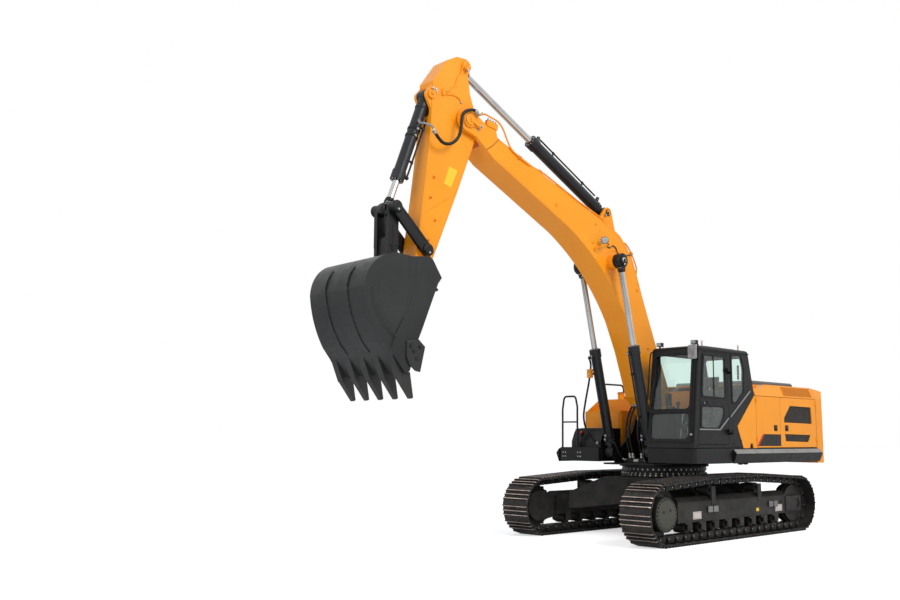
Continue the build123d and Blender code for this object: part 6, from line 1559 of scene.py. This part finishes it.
def make_foot_fittings():
    """Bulkhead with the hoses' fittings at the boom's foot."""
    parts = Shape("foot_fittings", "house", "deck_black", "black", "steel", "hose", "red", "pale")
    parts.slab((0.7, 0.8), (-0.245, 0.245), (1.215, 1.295), 0)
    for y in FOOT_HOSE_Y:
        turned(parts, (0.752, y, 1.295), (0.1, 0, 1),
               [(0.0, 0.032), (0.022, 0.032), (0.026, 0.025), (0.06, 0.025)], 12, 1)
    for y in (-0.225, 0.225):
        turned(parts, (0.8, y, 1.262), (1, 0, 0),
               [(0.0, 0.024), (0.018, 0.024), (0.022, 0.018), (0.04, 0.018)], 12, 1)
    parts.slab((0.8005, 0.8025), (-0.05, 0.05), (1.235, 1.28), 4)
    parts.done()


def make_tank_details():
    """Seams, bolts, cap and step pads on the tanks."""
    tanks = Shape("tank_details", "house", "body_yellow", "yellow", "yellow_dark", "steel", "black")
    for x in (-0.64, 0.52):
        side = 1 if x > 0 else -1
        for y in (-0.6, -1.4):
            tanks.slab((x, x + side * 0.004), (y - 0.005, y + 0.005), (1.5, 2.1), 1)
    # front face's upright seam, top plate's edge and bolts, and the filler cap
    tanks.slab((0.52, 0.524), (-0.95, -0.94), (1.5, 2.12), 1)
    tanks.slab((0.365, 0.37), (-1.43, -0.57), (2.13, 2.134), 1)
    for x in (0.14, 0.46):
        for y in (-0.62, -1.38):
            tanks.bolt((x, y, 2.13), UP, 0.03, 0.016, 0)
    turned(tanks, (-0.03, -1.0, 2.4835), UP, [(0.0, 0.06), (0.01, 0.06), (0.014, 0.04)], 24, 3)
    # step pads on the tank's stairs
    for k in range(5):
        x = 0.12 + 0.045 * k
        tanks.slab((x, x + 0.02), (-1.3, -0.98), (2.131, 2.141), 3)
    tanks.done()


def make_tool_box_details():
    """Latches, label and tread strips on the tool box, and a bracket with a red knob beside it."""
    box = Shape("tool_box_details", "house", "deck_black", "black", "steel", "plastic", "red", "tread_grey")
    for x in (0.66, 0.95):
        box.slab((x - 0.02, x + 0.02), (-1.262, -1.25), (1.74, 1.8), 1)
    box.slab((1.08, 1.088), (-0.99, -0.83), (1.7, 1.76), 2)
    for k in range(8):
        x = 0.58 + 0.062 * k
        box.slab((x, x + 0.022), (-1.06, -0.64), (1.8125, 1.818), 4)
    # bracket with its knob
    box.rod((1.12, -0.98, 1.475), (1.12, -0.98, 1.72), 0.014, 10, 0)
    box.slab((1.095, 1.145), (-1.01, -0.95), (1.66, 1.7), 0)
    turned(box, (1.12, -0.98, 1.72), UP, [(0.0, 0.016), (0.012, 0.026), (0.03, 0.024), (0.04, 0.01)], 16, 3)
    box.done()


# ---------------------------------------------------------------- bucket and linkage
BUCKET_SEAMS = (
    ((6.271, 3.968), (6.24, 3.671), (6.26, 3.596), (6.406, 3.238), (6.559, 2.914), (6.6, 2.78)),
    ((6.86, 3.59), (6.846, 3.386), (6.726, 3.118), (6.565, 2.914)),
)


def make_bucket_details():
    """Bucket's seams, side cutters' bolts and the collars round both pins."""
    parts = Shape("bucket_details", "bucket_body", "bucket_steel", "bucket")
    for side in (1, -1):
        y = side * 0.75
        for x, z in ((6.185, 2.8), (6.235, 2.64), (6.29, 2.74), (6.335, 2.8)):
            parts.bolt((x, side * 0.776, z), (0, side, 0), 0.044, 0.018, 0)
        for line in BUCKET_SEAMS:
            seam_line(parts, line, y, 0.014, 0.005)
        # ear plates' collars at both pins
        for place, radius in ((BUCKET_PIN, 0.118), (BUCKET_LINK_PIN, 0.1)):
            parts.ring((place[0], side * 0.232, place[1]), (0, side, 0), radius, 0.072, 0.008, 32, 0)
    parts.done()


def keeper_place(centre, keeper, reach, y):
    """Bolt's place on a pin's cap, in the direction of its keeper."""
    way = Vector((keeper[0] - centre[0], keeper[1] - centre[1])).normalized() * reach
    return (centre[0] + way.x, y, centre[1] + way.y)


def make_rocker_details():
    """Pin caps with keeper bolts and weld seams on both rocker links."""
    rockers = Shape("rocker_details", "rocker", "linkage_black", "black", "steel")
    for side in (1, -1):
        for place, keeper, y in ((ROCKER_PIN, (5.64, 4.135), 0.261), (LINK_PIN, (6.19, 4.66), 0.259)):
            turned(rockers, (place[0], side * 0.2352, place[1]), (0, side, 0),
                   [(0.0, 0.088), (0.018, 0.088), (0.022, 0.078), (y - 0.2352 + 0.006, 0.074),
                    (y - 0.2352 + 0.01, 0.06)], 28, 0)
            rockers.bolt(keeper_place(place, keeper, 0.042, side * (y + 0.008)), (0, side, 0),
                         0.022, 0.01, 1)
        direction = Vector((LINK_PIN[0] - ROCKER_PIN[0], LINK_PIN[1] - ROCKER_PIN[1])).normalized()
        off = Vector((-direction.y, direction.x))
        for edge in (0.052, -0.052):
            line = []
            for share in (0.16, 0.84):
                x, z = between(ROCKER_PIN, LINK_PIN, share)
                line.append((x + off.x * edge, z + off.y * edge))
            seam_line(rockers, line, side * 0.235, 0.012, 0.004)
    rockers.done()


def make_link_details():
    """Collars, edge strips and the grease loop on the bucket's link."""
    link = Shape("link_details", "bucket_link", "linkage_black", "black", "hose")
    loop = smooth_line([(6.3, 0.115, 4.62), (6.345, 0.11, 4.72), (6.335, 0.085, 4.8), (6.3, 0.06, 4.74),
                        (6.29, 0.055, 4.58), (6.285, 0.052, 4.4)])
    link.tube(loop, 0.007, 8, 1)
    for side in (1, -1):
        for place in (LINK_PIN, BUCKET_LINK_PIN):
            link.ring((place[0], side * 0.172, place[1]), (0, side, 0), 0.082, 0.058, 0.006, 28, 0)
        link.slab((6.205, 6.235), (side * 0.1725, side * 0.176), (4.16, 4.56), 0)
    link.done()


make_arm_hoses()
make_foot_hoses()
make_cylinder_hoses()
make_foot_fittings()
make_tank_details()
make_tool_box_details()
make_bucket_details()
make_rocker_details()
make_link_details()
